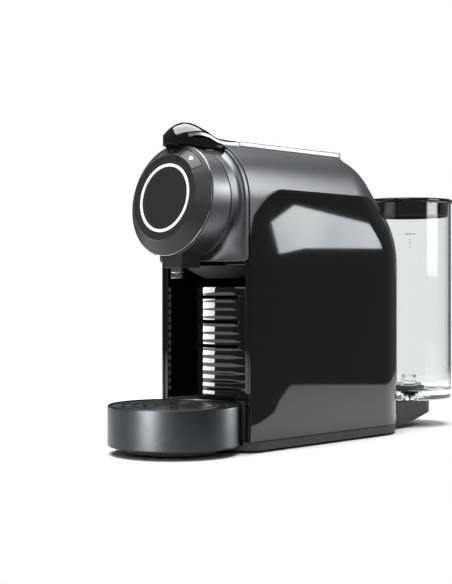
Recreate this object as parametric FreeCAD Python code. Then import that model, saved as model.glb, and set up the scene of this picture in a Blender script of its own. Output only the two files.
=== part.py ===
import FreeCAD, Part
import math
import os

os.makedirs("parts", exist_ok=True)

# Pod coffee machine, millimetres. +Z up, the spout faces -Y, +X is the machine's left as it faces the user.
# Sizes are measured from the body's front plane (Y = 0) and from the table (Z = 0).
# Every part moves back by origin_shift on export, so that the origin is the bottom centre of the whole.

# ---- body ----
body_half_width = 52.0
body_wall = 2.5
crown_axis_z = 206.3          # height of the axis of the round top
rear_axis_y = 181.0           # axis of the round back
top_bend_radius = 8.0         # the round section bends, slants down and bends again over the back edge
top_bend_angle = 46.0
back_slant = 37.0
rear_bend_radius = 30.0
seam_z = 9.3                  # joint between skirt and panels
plate_low_z = 2.0
skirt_inset = 0.6
panel_top_z = 217.0
panel_rear_y = 212.0
panel_front_radius = 44.0
panel_rear_radius = 58.0
panel_low_radius = 9.0
panel_proud = 0.6
panel_wall = 2.8
shell_tongue_z = 150.0        # the shell's tongue ends here, above the rear cover
panel_gap = 0.3
skin_gap = 0.2

# ---- head ----
barrel_radius = 46.2
barrel_wall = 2.5
barrel_seam_y = -16.0
collar_flare = 4.0
face_y = -46.9
face_z = 208.5
face_tilt = 9.3
bezel_depth = 7.6
bezel_wall = 2.4
bezel_flat_radius = 35.7
bezel_rim_height = 1.2
rim_to_barrel_gap = 1.2
ring_inner_radius = 25.5
ring_outer_radius = 29.3
face_gap = 0.25
button_inner_radius = 31.6
button_outer_radius = 43.0
button_angle = 34.0
button_pitch_angle = 36.0
button_travel = 0.8
button_gap = 0.3
button_names = ["short_cup_button", "medium_cup_button", "long_cup_button"]

# ---- capsule path and brewing ----
capsule_half_width = 17.0
capsule_front_y = -11.0
capsule_rear_y = 14.0
chamber_half_width = 24.0
chamber_half_height = 24.0
chamber_wall_front = 15.0
piston_radius = 18.0
piston_clearance = 0.3
piston_length = 40.0
seal_depth = 1.6
seal_width = 3.0
needle_length = 6.0
chamber_rear_y = 66.0
port_half_width = 27.0
port_front_y = -27.0
port_depth = 9.0
spout_y = -31.7
nozzle_radius = 5.4
nozzle_bore = 3.9
nozzle_low_z = 143.0
spout_top_half = 13.2
spout_top_z = 164.0
spout_front_top_y = -38.4
spout_front_low_y = -38.0
spout_rear_y = -18.0
spout_low_half = 10.0
spout_low_z = 151.5
head_under_z = 157.0
chute_y = 24.0
chute_radius = 34.0
chute_low_z = 141.0
chute_mouth_radius = 15.0
chute_wall = 2.0

# ---- lever ----
lever_half_width = 19.7
lever_low_z = 254.3
lever_top_z = 261.8
lever_front_y = 22.0
lever_rear_y = 170.0
lever_slot_gap = 0.5
lever_sweep_gap = 6.8         # room behind the bar for its end to swing down
slot_corner = 8.0
lever_rim = 2.6               # wall left around the bar's hollow underside
lever_pivot_y = 160.0
lever_pivot_z = 249.0
lever_pin_radius = 2.5
pin_clearance = 0.05
crank_y = 148.0
crank_z = 242.0
crank_pin_radius = 2.0
link_end_y = 90.0
link_loose = 4.2
arm_inner_x = 9.0
arm_thick = 3.0
link_inner_x = 4.5
link_thick = 3.5
ear_inner_x = 13.0
ear_thick = 3.5
ear_radius = 5.0
grip_tip_y = -43.0
grip_top_z = 272.0
grip_plan_radius = 19.7

# ---- capsule bin and its bay ----
bay_half_width = 45.5
bay_rear_y = 90.0
bin_radius = 42.0
bin_axis_y = 50.0
bin_low_z = 42.0
bin_top_z = 136.0
bin_wall = 2.2
bin_rear_y = 87.0
rib_count = 14
rib_bulge = 1.0
slot_heights = [86.2, 106.8, 127.5]
slot_half_width = 24.0
slot_height = 2.8
hook_slot_depth = 22.0

# ---- drip tray ----
tray_radius = 54.5
tray_axis_y = -35.6
tray_low_z = 6.6
tray_top_z = 40.1
tray_wall = 2.4
tray_gap = 0.6
grille_thick = 3.0
grille_slot_radii = [16.0, 25.0, 34.0, 43.0]
grille_slot_width = 3.6
spoke_half_width = 3.0
foot_disc_radius = 38.8
foot_disc_top_z = 6.3

# ---- water tank ----
tank_radius = 44.0
tank_axis_y = 286.0
tank_low_z = 26.0
tank_top_z = 219.0
tank_wall = 2.2
tank_floor = 9.0
tank_seat_gap = 0.3
lid_top_z = 223.0
lid_rim_radius = 45.4
lid_skirt_depth = 13.0
lid_gap = 0.35
bracket_half_width = 26.0
bracket_round_y = 280.0       # centre of its round end
bracket_end_low_z = 14.0
bracket_slope_y = 283.0
bracket_slope_z = 11.4
bracket_mid_y = 261.0
bracket_mid_z = 6.0
valve_radius = 11.0
valve_y = 290.0
coupling_radius = 5.0
valve_lift = 3.0

# ---- mains socket, switch and inner parts ----
socket_half_width = 11.0
socket_low_z = 62.0
socket_high_z = 84.0
socket_depth = 22.0
switch_half_width = 8.0
switch_low_z = 98.0
switch_high_z = 118.0
rocker_pin_radius = 1.0
frame_inner_x = 43.0
frame_wall = 2.5
frame_rear_y = 196.0
hot_pipe_x = 34.0              # the hot water pipe climbs here, through the frame's shelf
hot_pipe_y = 94.5
pump_y = 150.0
pump_z = 44.0
mount_thick = 4.0
heater_low = 100.0
heater_outlet_x = 0.0
meter_y = 211.0
hot_pipe_top_z = 187.0
frame_shelf_z = 176.0
frame_shelf_thick = 3.0

# ---- fasteners and feet ----
screw_radius = 1.6
screw_head_radius = 3.2
foot_radius = 7.0
foot_thick = 2.6

V = FreeCAD.Vector
X_AXIS = V(1, 0, 0)
Y_AXIS = V(0, 1, 0)
Z_AXIS = V(0, 0, 1)

overall_front_y = tray_axis_y - tray_radius
overall_rear_y = tank_axis_y + lid_rim_radius
origin_shift = V(0, -(overall_front_y + overall_rear_y) / 2, 0)


def save(name, *solids):
    """Move the solids to the machine's own origin and write them as one node."""
    shape = solids[0] if len(solids) == 1 else Part.makeCompound(list(solids))
    moved = shape.copy()
    moved.translate(origin_shift)
    moved.exportStep("parts/" + name + ".step")
    print(f"{name}: {len(moved.Solids)} solid(s), {moved.Volume / 1000:.1f} cm3, valid {moved.isValid()}")


def block(x0, x1, y0, y1, z0, z1):
    return Part.makeBox(x1 - x0, y1 - y0, z1 - z0, V(x0, y0, z0))


def rod(radius, start, end):
    along = end - start
    return Part.makeCylinder(radius, along.Length, start, along)


def tube(outer, inner, start, end):
    return rod(outer, start, end).cut(rod(inner, start, end))


def fuse(*solids):
    whole = solids[0].multiFuse(list(solids[1:]))
    return whole.removeSplitter()


def both_sides(solid):
    return [solid, solid.mirror(V(0, 0, 0), X_AXIS)]


def plate_yz(points, x0, x1):
    """A flat outline in Y and Z, given thickness along X."""
    corners = [V(x0, y, z) for y, z in points]
    face = Part.Face(Part.makePolygon(corners + corners[:1]))
    return face.extrude(V(x1 - x0, 0, 0))


def rounded_plate_yz(y0, y1, z0, z1, radii, x0, x1):
    """A rectangle in Y and Z whose corners have their own radii: front low, rear low, rear top, front top."""
    low_front, low_rear, top_rear, top_front = radii
    corners = [(y0, z0, low_front, 180), (y1, z0, low_rear, 270), (y1, z1, top_rear, 0), (y0, z1, top_front, 90)]
    arcs = []
    for y, z, radius, begin in corners:
        cy = y + radius if y == y0 else y - radius
        cz = z + radius if z == z0 else z - radius
        ends = []
        for angle in (begin, begin + 45, begin + 90):
            turn = math.radians(angle)
            ends.append(V(x0, cy + radius * math.cos(turn), cz + radius * math.sin(turn)))
        arcs.append(ends)
    edges = []
    for here, after in zip(arcs, arcs[1:] + arcs[:1]):
        edges.append(Part.Arc(*here).toShape())
        edges.append(Part.makeLine(here[2], after[0]))
    return Part.Face(Part.Wire(edges)).extrude(V(x1 - x0, 0, 0))


def turned(points, axis_point, axis, angle=360.0):
    """A closed outline given in 3-D, turned about an axis."""
    face = Part.Face(Part.makePolygon(points + points[:1]))
    return face.revolve(axis_point, axis, angle)


def turned_z(profile, x, y):
    """Radius and height pairs turned about a vertical axis."""
    return turned([V(x + r, y, z) for r, z in profile], V(x, y, 0), Z_AXIS)


def arch(half_width, front_y, low_z):
    """The body's outer form: a round-topped section that slants over the back edge and runs down the back."""
    turn = math.radians(top_bend_angle)
    slant = V(0, back_slant * math.cos(turn), -back_slant * math.sin(turn))
    run_y = top_bend_radius * math.sin(turn) + slant.y + rear_bend_radius * (1 - math.sin(turn))
    drop = top_bend_radius * (1 - math.cos(turn)) - slant.z + rear_bend_radius * math.cos(turn)
    bend_y = rear_axis_y - run_y
    bend_low_z = crown_axis_z - drop
    top_centre = V(0, bend_y, crown_axis_z - top_bend_radius)
    rear_centre = V(0, rear_axis_y - rear_bend_radius, bend_low_z)

    def on_arc(centre, radius, angle):
        a = math.radians(angle)
        return V(-half_width, centre.y + radius * math.sin(a), centre.z + radius * math.cos(a))

    knee = on_arc(top_centre, top_bend_radius, top_bend_angle)
    start = V(-half_width, bend_y, crown_axis_z)
    end = V(-half_width, rear_axis_y, bend_low_z)
    corners = [V(-half_width, front_y, crown_axis_z), V(-half_width, front_y, low_z),
               V(-half_width, rear_axis_y, low_z)]
    edges = [
        Part.makeLine(start, corners[0]),
        Part.makeLine(corners[0], corners[1]),
        Part.makeLine(corners[1], corners[2]),
        Part.makeLine(corners[2], end),
        Part.Arc(end, on_arc(rear_centre, rear_bend_radius, (90 + top_bend_angle) / 2), knee + slant).toShape(),
        Part.makeLine(knee + slant, knee),
        Part.Arc(knee, on_arc(top_centre, top_bend_radius, top_bend_angle / 2), start).toShape(),
    ]
    slab = Part.Face(Part.Wire(edges)).extrude(V(2 * half_width, 0, 0))

    def half_disc(z, y):
        left = V(-half_width, y, z)
        right = V(half_width, y, z)
        bow = Part.Arc(left, V(0, y, z + half_width), right).toShape()
        return Part.Face(Part.Wire([bow, Part.makeLine(right, left)]))

    over_top = half_disc(crown_axis_z, front_y).extrude(V(0, bend_y - front_y, 0))
    first = half_disc(crown_axis_z, bend_y).revolve(top_centre, V(-1, 0, 0), top_bend_angle)
    section = half_disc(rear_centre.z + rear_bend_radius, rear_centre.y)
    section.rotate(rear_centre, V(-1, 0, 0), top_bend_angle)
    between = section.extrude(slant * -1)
    second = section.revolve(rear_centre, V(-1, 0, 0), 90 - top_bend_angle)
    back = Part.makeCylinder(half_width, bend_low_z - low_z, V(0, rear_axis_y, low_z), Z_AXIS)
    return fuse(slab, over_top, first, between, second, back)


def side_outline(grow, x0, x1):
    """The side panel's outline, grown by a gap, as a block along X."""
    return rounded_plate_yz(-grow, panel_rear_y + grow, seam_z + panel_gap - grow, panel_top_z + grow,
                            (1.0, panel_low_radius + grow, panel_rear_radius + grow, panel_front_radius + grow),
                            x0, x1)


def tilt_to_face(solid):
    """From the face's own frame (axis along -Y, origin at the ring's centre) to the machine's frame."""
    moved = solid.copy()
    moved.rotate(V(0, 0, 0), X_AXIS, -face_tilt)
    moved.translate(V(0, face_y, face_z))
    return moved


def face_turned(profile):
    """Radius and depth pairs turned about the face's axis."""
    return turned([V(r, depth, 0) for r, depth in profile], V(0, 0, 0), Y_AXIS)


def face_front_cut(depth):
    """Everything in front of a plane that lies this deep behind the ring."""
    return tilt_to_face(block(-80, 80, depth - 100, depth, -100, 100))


# ---- base, feet, frame ----

def base_outline(grow, z0, z1):
    """The skirt's plan: straight sides, round back, and front corners cut back to the tray's foot disc."""
    half = body_half_width - skirt_inset + grow
    sides = [V(half, rear_axis_y, z0), V(half, 8, z0), V(30, -10, z0), V(-30, -10, z0), V(-half, 8, z0),
             V(-half, rear_axis_y, z0)]
    front = Part.Face(Part.makePolygon(sides + sides[:1])).extrude(V(0, 0, z1 - z0))
    return front.fuse(Part.makeCylinder(half, z1 - z0, V(0, rear_axis_y, z0), Z_AXIS)).removeSplitter()


def make_base():
    whole = base_outline(0, plate_low_z, seam_z)
    whole = whole.cut(block(-60, 60, -20, 1.0, foot_disc_top_z, seam_z + 1))
    whole = whole.cut(Part.makeCylinder(tray_radius + tray_gap, 60, V(0, tray_axis_y, foot_disc_top_z), Z_AXIS))
    disc = Part.makeCylinder(foot_disc_radius, foot_disc_top_z - plate_low_z, V(0, tray_axis_y, plate_low_z), Z_AXIS)
    neck = block(-24, 24, tray_axis_y, 0, plate_low_z, foot_disc_top_z)
    whole = fuse(whole, disc, neck)
    for x, y in foot_places:
        whole = whole.cut(Part.makeCylinder(foot_radius, foot_thick - 0.1, V(x, y, 0), Z_AXIS))
    for x, y in base_screw_places:
        whole = whole.cut(Part.makeCylinder(screw_radius + 0.2, seam_z, V(x, y, plate_low_z - 1), Z_AXIS))
        whole = whole.cut(Part.makeCylinder(screw_head_radius + 0.3, 3.4, V(x, y, plate_low_z - 1), Z_AXIS))
    return whole


foot_places = [(x, y) for y in (24.0, 172.0) for x in (-38.0, 38.0)] + [(-20.0, -46.0), (20.0, -46.0)]
base_screw_places = [(x, y) for y in (104.0, 200.0) for x in (-30.0, 30.0)]
frame_front_y = bay_rear_y + 0.3
frame_floor_top = seam_z + 4.3


def make_frame():
    """Inner frame: floor, two side walls and a top shelf that carries the brewing unit and the lever's ears."""
    walls = both_sides(block(frame_inner_x, frame_inner_x + frame_wall, frame_front_y, frame_rear_y,
                             seam_z + 0.3, frame_shelf_z))
    floor = block(-frame_inner_x, frame_inner_x, frame_front_y, frame_rear_y, seam_z + 0.3, frame_floor_top)
    shelf_z = frame_shelf_z
    shelf = block(-frame_inner_x - frame_wall, frame_inner_x + frame_wall, 40.0, 172.0,
                  shelf_z - frame_shelf_thick, shelf_z)
    cradle = block(-20, 20, chamber_rear_y - 24, chamber_rear_y, shelf_z, crown_axis_z - chamber_half_height - 0.2)
    ear_web = plate_yz([(lever_pivot_y - 12, shelf_z), (lever_pivot_y + ear_radius - 1, shelf_z),
                        (lever_pivot_y + ear_radius - 1, lever_pivot_z - 2), (lever_pivot_y - ear_radius, lever_pivot_z)],
                       ear_inner_x, ear_inner_x + ear_thick)
    ear_eye = rod(ear_radius, V(ear_inner_x, lever_pivot_y, lever_pivot_z),
                  V(ear_inner_x + ear_thick, lever_pivot_y, lever_pivot_z))
    ears = both_sides(fuse(ear_web, ear_eye))
    frame = fuse(*walls, floor, shelf, cradle, *ears)
    pin = rod(lever_pin_radius + pin_clearance, V(-30, lever_pivot_y, lever_pivot_z), V(30, lever_pivot_y, lever_pivot_z))
    frame = frame.cut(pin)
    frame = frame.cut(rod(3.2, V(hot_pipe_x, hot_pipe_y, shelf_z - 5), V(hot_pipe_x, hot_pipe_y, shelf_z + 1)))
    for x, y in base_screw_places:
        if y < frame_rear_y:
            frame = frame.cut(Part.makeCylinder(screw_radius, 8, V(x, y, seam_z - 1), Z_AXIS))
    return frame


save("base_plate", make_base())
save("rubber_feet", *[Part.makeCylinder(foot_radius - 0.15, foot_thick - 0.1, V(x, y, 0), Z_AXIS)
                      for x, y in foot_places])
save("inner_frame", make_frame())

# ---- shell, panels, rear cover ----
outer = arch(body_half_width, 0, seam_z + panel_gap)
inner = arch(body_half_width - body_wall, -1, seam_z - 5)
proud = arch(body_half_width + panel_proud, 0, seam_z + panel_gap)
panel_inner = arch(body_half_width + panel_proud - panel_wall, -1, seam_z - 5)

rear_zone = block(-80, 80, panel_rear_y + panel_gap, 400, 0, shell_tongue_z + panel_gap / 2)
windows = [side_outline(panel_gap, 20, 80), side_outline(panel_gap, -80, -20)]
slot_half = lever_half_width + lever_slot_gap
slot_end_y = lever_rear_y + lever_sweep_gap
lever_slot = block(-slot_half, slot_half, -1, slot_end_y - slot_corner, crown_axis_z + 20, 300)
lever_slot = lever_slot.fuse(block(-slot_half + slot_corner, slot_half - slot_corner, -1, slot_end_y,
                                   crown_axis_z + 20, 300))
for x in (-slot_half + slot_corner, slot_half - slot_corner):
    lever_slot = lever_slot.fuse(Part.makeCylinder(slot_corner, 80, V(x, slot_end_y - slot_corner, crown_axis_z + 20),
                                                   Z_AXIS))
shell = outer.cut(inner)
for cutter in windows + [rear_zone, lever_slot]:
    shell = shell.cut(cutter)
shell = shell.cut(block(-80, 80, 0, panel_rear_y, 0, 100))
save("body_shell", max(shell.Solids, key=lambda solid: solid.Volume))

panel_skin = proud.cut(panel_inner)
save("right_side_panel", panel_skin.common(side_outline(0, 20, 80)))
save("left_side_panel", panel_skin.common(side_outline(0, -80, -20)))

# The rear cover closes the back between the side panels. The tank bracket bolts to it.
cover = proud.cut(panel_inner).common(block(-80, 80, panel_rear_y + 2 * panel_gap, 400, seam_z + panel_gap,
                                            shell_tongue_z - panel_gap / 2))
cover_back_y = rear_axis_y + body_half_width + panel_proud
cover = cover.cut(block(-socket_half_width, socket_half_width, rear_axis_y, 300, socket_low_z, socket_high_z))
cover = cover.cut(block(-switch_half_width, switch_half_width, rear_axis_y, 300, switch_low_z, switch_high_z))
for z in (128.0, 134.0, 140.0):
    for x in (-22.0, 0.0, 22.0):
        cover = cover.cut(block(x - 7, x + 7, rear_axis_y, 300, z, z + 2.4))
save("rear_cover", max(cover.Solids, key=lambda solid: solid.Volume))

socket_back_y = cover_back_y - panel_wall - 1.0
socket = block(-socket_half_width + skin_gap, socket_half_width - skin_gap, socket_back_y - socket_depth,
               cover_back_y - 1.6, socket_low_z + skin_gap, socket_high_z - skin_gap)
socket = socket.cut(block(-socket_half_width + 2, socket_half_width - 2, socket_back_y - socket_depth + 3, 300,
                          socket_low_z + 2, socket_high_z - 2))
pins = [rod(1.2, V(x, socket_back_y - socket_depth + 2, (socket_low_z + socket_high_z) / 2),
            V(x, socket_back_y - 4, (socket_low_z + socket_high_z) / 2)) for x in (-4.5, 4.5)]
save("mains_inlet", fuse(socket, *pins))

# The rocker turns on a pin in its own frame.
rocker_y = cover_back_y - 5.0
rocker_z = (switch_low_z + switch_high_z) / 2
rocker_half_width = switch_half_width - 1.8
switch_body = block(-switch_half_width + skin_gap, switch_half_width - skin_gap, rocker_y - 14, cover_back_y - 1.6,
                    switch_low_z + skin_gap, switch_high_z - skin_gap)
switch_body = switch_body.cut(block(-rocker_half_width - 0.3, rocker_half_width + 0.3, rocker_y - 11, 300,
                                    switch_low_z + 1.4, switch_high_z - 1.4))
rocker_pin_line = (V(-rocker_half_width - 1.0, rocker_y, rocker_z), V(rocker_half_width + 1.0, rocker_y, rocker_z))
switch_body = switch_body.cut(rod(rocker_pin_radius + pin_clearance, *rocker_pin_line))
save("switch_housing", switch_body)
rocker = plate_yz([(rocker_y - 4, rocker_z - 5), (rocker_y + 3.4, rocker_z - 7.4), (rocker_y + 2.6, rocker_z),
                   (rocker_y + 3.4, rocker_z + 7.4), (rocker_y - 4, rocker_z + 5)],
                  -rocker_half_width, rocker_half_width)
save("power_rocker", fuse(rocker, rod(rocker_pin_radius, *rocker_pin_line)))

# ---- front: cheeks, bay, dock ----
bay = []
for side in both_sides(block(bay_half_width, body_half_width + panel_proud - panel_wall - skin_gap, 0.6,
                             frame_front_y - 0.6, seam_z + 0.3, head_under_z - 0.2)):
    bay.append(side)
bay.append(block(-bay_half_width, bay_half_width, bin_rear_y + 1.0, frame_front_y - 0.6, seam_z + 0.3,
                 head_under_z - 0.2))
roof = block(-bay_half_width, bay_half_width, 0.6, frame_front_y - 0.6, head_under_z - 3.2, head_under_z - 0.2)
roof = roof.cut(Part.makeCylinder(chute_radius - 4, 10, V(0, chute_y, head_under_z - 6), Z_AXIS))
bay.append(roof)
front_bay = fuse(*bay)
front_bay = front_bay.cut(Part.makeCylinder(chute_radius + skin_gap, 3.0, V(0, chute_y, head_under_z - 4), Z_AXIS)
                          .cut(Part.makeCylinder(chute_radius - 4, 3.0, V(0, chute_y, head_under_z - 4), Z_AXIS)))
save("front_bay", front_bay)

dock_top_z = bin_low_z - 0.8
dock = block(-bay_half_width + skin_gap, bay_half_width - skin_gap, 1.2, bin_rear_y, seam_z + 0.3, dock_top_z)
dock = dock.cut(Part.makeCylinder(tray_radius + tray_gap, 60, V(0, tray_axis_y, 0), Z_AXIS))
dock = dock.cut(block(-bay_half_width + 6, bay_half_width - 6, 30, bin_rear_y - 4, seam_z - 1, dock_top_z - 3))
save("tray_dock", dock)

# ---- capsule bin: round ribbed front, straight sides, open top ----
rib_pitch = (bin_top_z - bin_low_z) / rib_count
rim_points = [V(0, bin_axis_y, bin_low_z), V(bin_radius, bin_axis_y, bin_low_z)]
rib_edges = [Part.makeLine(rim_points[0], rim_points[1])]
for i in range(rib_count):
    low = V(bin_radius, bin_axis_y, bin_low_z + i * rib_pitch)
    high = V(bin_radius, bin_axis_y, low.z + rib_pitch)
    crest = V(bin_radius + rib_bulge, bin_axis_y, low.z + rib_pitch / 2)
    rib_edges.append(Part.Arc(low, crest, high).toShape())
rib_edges.append(Part.makeLine(V(bin_radius, bin_axis_y, bin_top_z), V(0, bin_axis_y, bin_top_z)))
rib_edges.append(Part.makeLine(V(0, bin_axis_y, bin_top_z), rim_points[0]))
ribbed = Part.Face(Part.Wire(rib_edges)).revolve(V(0, bin_axis_y, 0), V(0, 0, -1), 180)
bin_back = block(-bin_radius, bin_radius, bin_axis_y, bin_rear_y, bin_low_z, bin_top_z)
hollow = Part.makeCylinder(bin_radius - bin_wall, 200, V(0, bin_axis_y, bin_low_z + bin_wall), Z_AXIS)
hollow = hollow.fuse(block(-bin_radius + bin_wall, bin_radius - bin_wall, bin_axis_y, bin_rear_y - bin_wall,
                           bin_low_z + bin_wall, 300))
capsule_bin = fuse(ribbed, bin_back).cut(hollow)
for z in slot_heights:
    capsule_bin = capsule_bin.cut(block(-slot_half_width, slot_half_width, -10, hook_slot_depth,
                                        z - slot_height / 2, z + slot_height / 2))
save("capsule_bin", capsule_bin)

# ---- drip tray and grille ----
tray = Part.makeCylinder(tray_radius, tray_top_z - tray_low_z, V(0, tray_axis_y, tray_low_z), Z_AXIS)
tray = tray.cut(Part.makeCylinder(tray_radius - tray_wall, 60, V(0, tray_axis_y, tray_low_z + tray_wall), Z_AXIS))
ledge_z = tray_top_z - 1.0 - grille_thick
ledge = turned_z([(tray_radius - tray_wall - 3, ledge_z - 2), (tray_radius - tray_wall + 0.5, ledge_z - 5),
                  (tray_radius - tray_wall + 0.5, ledge_z), (tray_radius - tray_wall - 3, ledge_z)], 0, tray_axis_y)
tray = fuse(tray, ledge)
save("drip_tray", tray)

grille = Part.makeCylinder(tray_radius - tray_wall - 0.35, grille_thick, V(0, tray_axis_y, ledge_z), Z_AXIS)
for radius in grille_slot_radii:
    ring_slot = Part.makeCylinder(radius + grille_slot_width / 2, 20, V(0, tray_axis_y, ledge_z - 5), Z_AXIS)
    ring_slot = ring_slot.cut(Part.makeCylinder(radius - grille_slot_width / 2, 20, V(0, tray_axis_y, ledge_z - 5),
                                                Z_AXIS))
    for angle in (45, 135):
        spoke = block(-80, 80, -spoke_half_width, spoke_half_width, 0, 60)
        spoke.rotate(V(0, 0, 0), Z_AXIS, angle)
        spoke.translate(V(0, tray_axis_y, 0))
        ring_slot = ring_slot.cut(spoke)
    grille = grille.cut(ring_slot)
save("drip_grille", grille)

# ---- head: barrel, collar, face ----
passage = block(-capsule_half_width, capsule_half_width, capsule_front_y, capsule_rear_y, 0, 400)
port_well = block(-port_half_width - skin_gap, port_half_width + skin_gap, port_front_y - skin_gap, 60,
                  crown_axis_z + 25, 300)
barrel_depth = bezel_depth + bezel_rim_height + rim_to_barrel_gap
barrel = tube(barrel_radius, barrel_radius - barrel_wall, V(0, -70, crown_axis_z),
              V(0, barrel_seam_y - skin_gap, crown_axis_z))
barrel = barrel.cut(face_front_cut(barrel_depth)).cut(port_well)
spout_block = block(-spout_top_half - skin_gap, spout_top_half + skin_gap, -60, barrel_seam_y, 0, spout_top_z + 3)
barrel = barrel.cut(spout_block)
save("head_barrel", barrel)

# The collar grows from the barrel's radius to the body's section, whose lower half has straight sides.
def collar_form(shrink):
    start_r = barrel_radius - shrink
    end_r = body_half_width - 1.0 - shrink
    profile = [V(0, barrel_seam_y, crown_axis_z), V(0, barrel_seam_y, crown_axis_z + start_r),
               V(0, -8, crown_axis_z + start_r + 0.8), V(0, -collar_flare, crown_axis_z + end_r - 1.6),
               V(0, -0.2, crown_axis_z + end_r), V(0, -0.2, crown_axis_z)]
    dome = turned(profile, V(0, 0, crown_axis_z), Y_AXIS)
    low = block(-end_r, end_r, -collar_flare + shrink, -0.2, head_under_z + shrink * 0.8, crown_axis_z)
    return dome.fuse(low).removeSplitter().cut(block(-80, 80, -60, 10, 0, head_under_z + shrink * 0.8))


collar = collar_form(0).cut(collar_form(barrel_wall).fuse(
    block(-40, 40, -1, 1, head_under_z + 4, crown_axis_z + 30)))
collar = collar.cut(port_well).cut(passage)
save("head_collar", max(collar.Solids, key=lambda solid: solid.Volume))

cone_slope = bezel_depth / (barrel_radius - bezel_flat_radius)


def cone_depth(radius):
    return max(0.0, (radius - bezel_flat_radius) * cone_slope)


bezel = face_turned([(ring_outer_radius + face_gap, 0.4), (bezel_flat_radius, 0), (barrel_radius, bezel_depth),
                     (barrel_radius - 0.4, bezel_depth + 0.4), (barrel_radius - bezel_wall, bezel_depth + 0.4),
                     (bezel_flat_radius - 0.8, bezel_wall + 0.6), (ring_outer_radius + face_gap, bezel_wall + 0.6)])


def sector(inner_radius, outer_radius, centre_angle, width_angle, grow=0.0):
    """A block that covers one button's share of the face, grown by a gap."""
    reach = 80.0
    half = math.radians(width_angle / 2)
    centre = math.radians(centre_angle)
    corners = [V(reach * math.sin(centre + turn), 0, reach * math.cos(centre + turn)) for turn in (-half, half)]
    tip = V(-grow * math.sin(centre) / math.sin(half), 0, -grow * math.cos(centre) / math.sin(half))
    corners = [corner + tip for corner in corners]
    wedge = Part.Face(Part.makePolygon([tip] + corners + [tip])).extrude(V(0, 40, 0))
    wedge.translate(V(0, -10, 0))
    ring = rod(outer_radius + grow, V(0, -10, 0), V(0, 30, 0)).cut(
        rod(inner_radius - grow, V(0, -10, 0), V(0, 30, 0)))
    return wedge.common(ring)


button_floor = bezel_depth + 2.6
button_solids = []
for i, name in enumerate(button_names):
    angle = (i - 1) * button_pitch_angle
    bezel = bezel.cut(sector(button_inner_radius, button_outer_radius, angle, button_angle, button_gap))
    cap = face_turned([(button_inner_radius, 0.3), (bezel_flat_radius, -0.05),
                       (button_outer_radius, cone_depth(button_outer_radius) - 0.05),
                       (button_outer_radius, cone_depth(button_outer_radius) + 1.9),
                       (bezel_flat_radius, 2.2), (button_inner_radius, 2.2)])
    cap = cap.common(sector(button_inner_radius, button_outer_radius, angle, button_angle))
    turn = math.radians(angle)
    stem_radius = (button_inner_radius + button_outer_radius) / 2 - 1.0
    stem_foot = V(stem_radius * math.sin(turn), 1.8, stem_radius * math.cos(turn))
    stem = rod(1.6, stem_foot, stem_foot + V(0, button_floor - 1.8 - button_travel - 0.3, 0))
    button_solids.append(fuse(cap, stem))
    save(name, tilt_to_face(button_solids[-1]))
save("face_bezel", tilt_to_face(bezel))

save("face_disc", tilt_to_face(face_turned([(0, -0.2), (18, 0), (ring_inner_radius - face_gap, 0.5),
                                            (ring_inner_radius - face_gap, 3.0), (0, 3.0)])))
save("indicator_ring", tilt_to_face(face_turned([(ring_inner_radius, 0), (ring_inner_radius + 0.5, -0.5),
                                                 (ring_outer_radius - 0.5, -0.5), (ring_outer_radius, 0),
                                                 (ring_outer_radius, 3.0), (ring_inner_radius, 3.0)])))
rim_low = bezel_depth + 0.4
save("bezel_trim", tilt_to_face(face_turned([(barrel_radius - 2.2, rim_low + skin_gap), (barrel_radius + 0.2, rim_low),
                                             (barrel_radius + 0.2, rim_low + bezel_rim_height),
                                             (barrel_radius - 2.2, rim_low + bezel_rim_height)])))
board = rod(barrel_radius - barrel_wall - 1.0, V(0, button_floor, 0), V(0, button_floor + 1.6, 0))
face_backing = face_turned([(0, 3.2), (bezel_flat_radius - 5.2, 3.2), (bezel_flat_radius - 5.2, button_floor - 0.1),
                            (bezel_flat_radius - 7.2, button_floor - 0.1), (bezel_flat_radius - 7.2, 4.8), (0, 4.8)])
save("face_carrier", tilt_to_face(face_backing))
save("button_board", tilt_to_face(board))

# ---- spout ----


def spout_ring(y_front, y_back, half_front, half_back, z):
    points = [V(-half_front, y_front, z), V(half_front, y_front, z), V(half_back, y_back, z), V(-half_back, y_back, z)]
    return Part.makePolygon(points + points[:1])


spout = Part.makeLoft([spout_ring(spout_front_low_y, spout_rear_y, spout_low_half, spout_low_half + 3, spout_low_z),
                       spout_ring(spout_front_top_y, spout_rear_y, spout_top_half - 0.4, spout_top_half,
                                  spout_top_z)], True)
nozzle_seat = rod(nozzle_radius + 0.05, V(0, spout_y, 0), V(0, spout_y, spout_low_z + 5))
spout = spout.cut(nozzle_seat).cut(rod(nozzle_bore - 0.6, V(0, spout_y, 100), V(0, spout_y, 158)))
spout = spout.cut(rod(2.0, V(0, spout_y, 157), V(0, 0, 157)))
save("spout_housing", spout)
nozzle = tube(nozzle_radius, nozzle_bore, V(0, spout_y, nozzle_low_z), V(0, spout_y, spout_low_z + 5))
divider = block(-0.7, 0.7, spout_y - nozzle_bore - 0.4, spout_y + nozzle_bore + 0.4, nozzle_low_z, nozzle_low_z + 5)
save("spout_nozzle", nozzle.fuse(divider).removeSplitter())

# ---- brewing unit ----
chamber_front_y = capsule_front_y - chamber_wall_front
chamber = block(-chamber_half_width, chamber_half_width, chamber_front_y, chamber_rear_y,
                crown_axis_z - chamber_half_height, crown_axis_z + chamber_half_height)
chamber = chamber.cut(passage)
chamber = chamber.cut(rod(piston_radius + piston_clearance, V(0, capsule_front_y, crown_axis_z),
                          V(0, chamber_rear_y + 1, crown_axis_z)))
chamber = chamber.cut(rod(1.5, V(0, chamber_front_y - 1, crown_axis_z), V(0, capsule_front_y + 1, crown_axis_z)))
save("brew_chamber", chamber)

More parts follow.
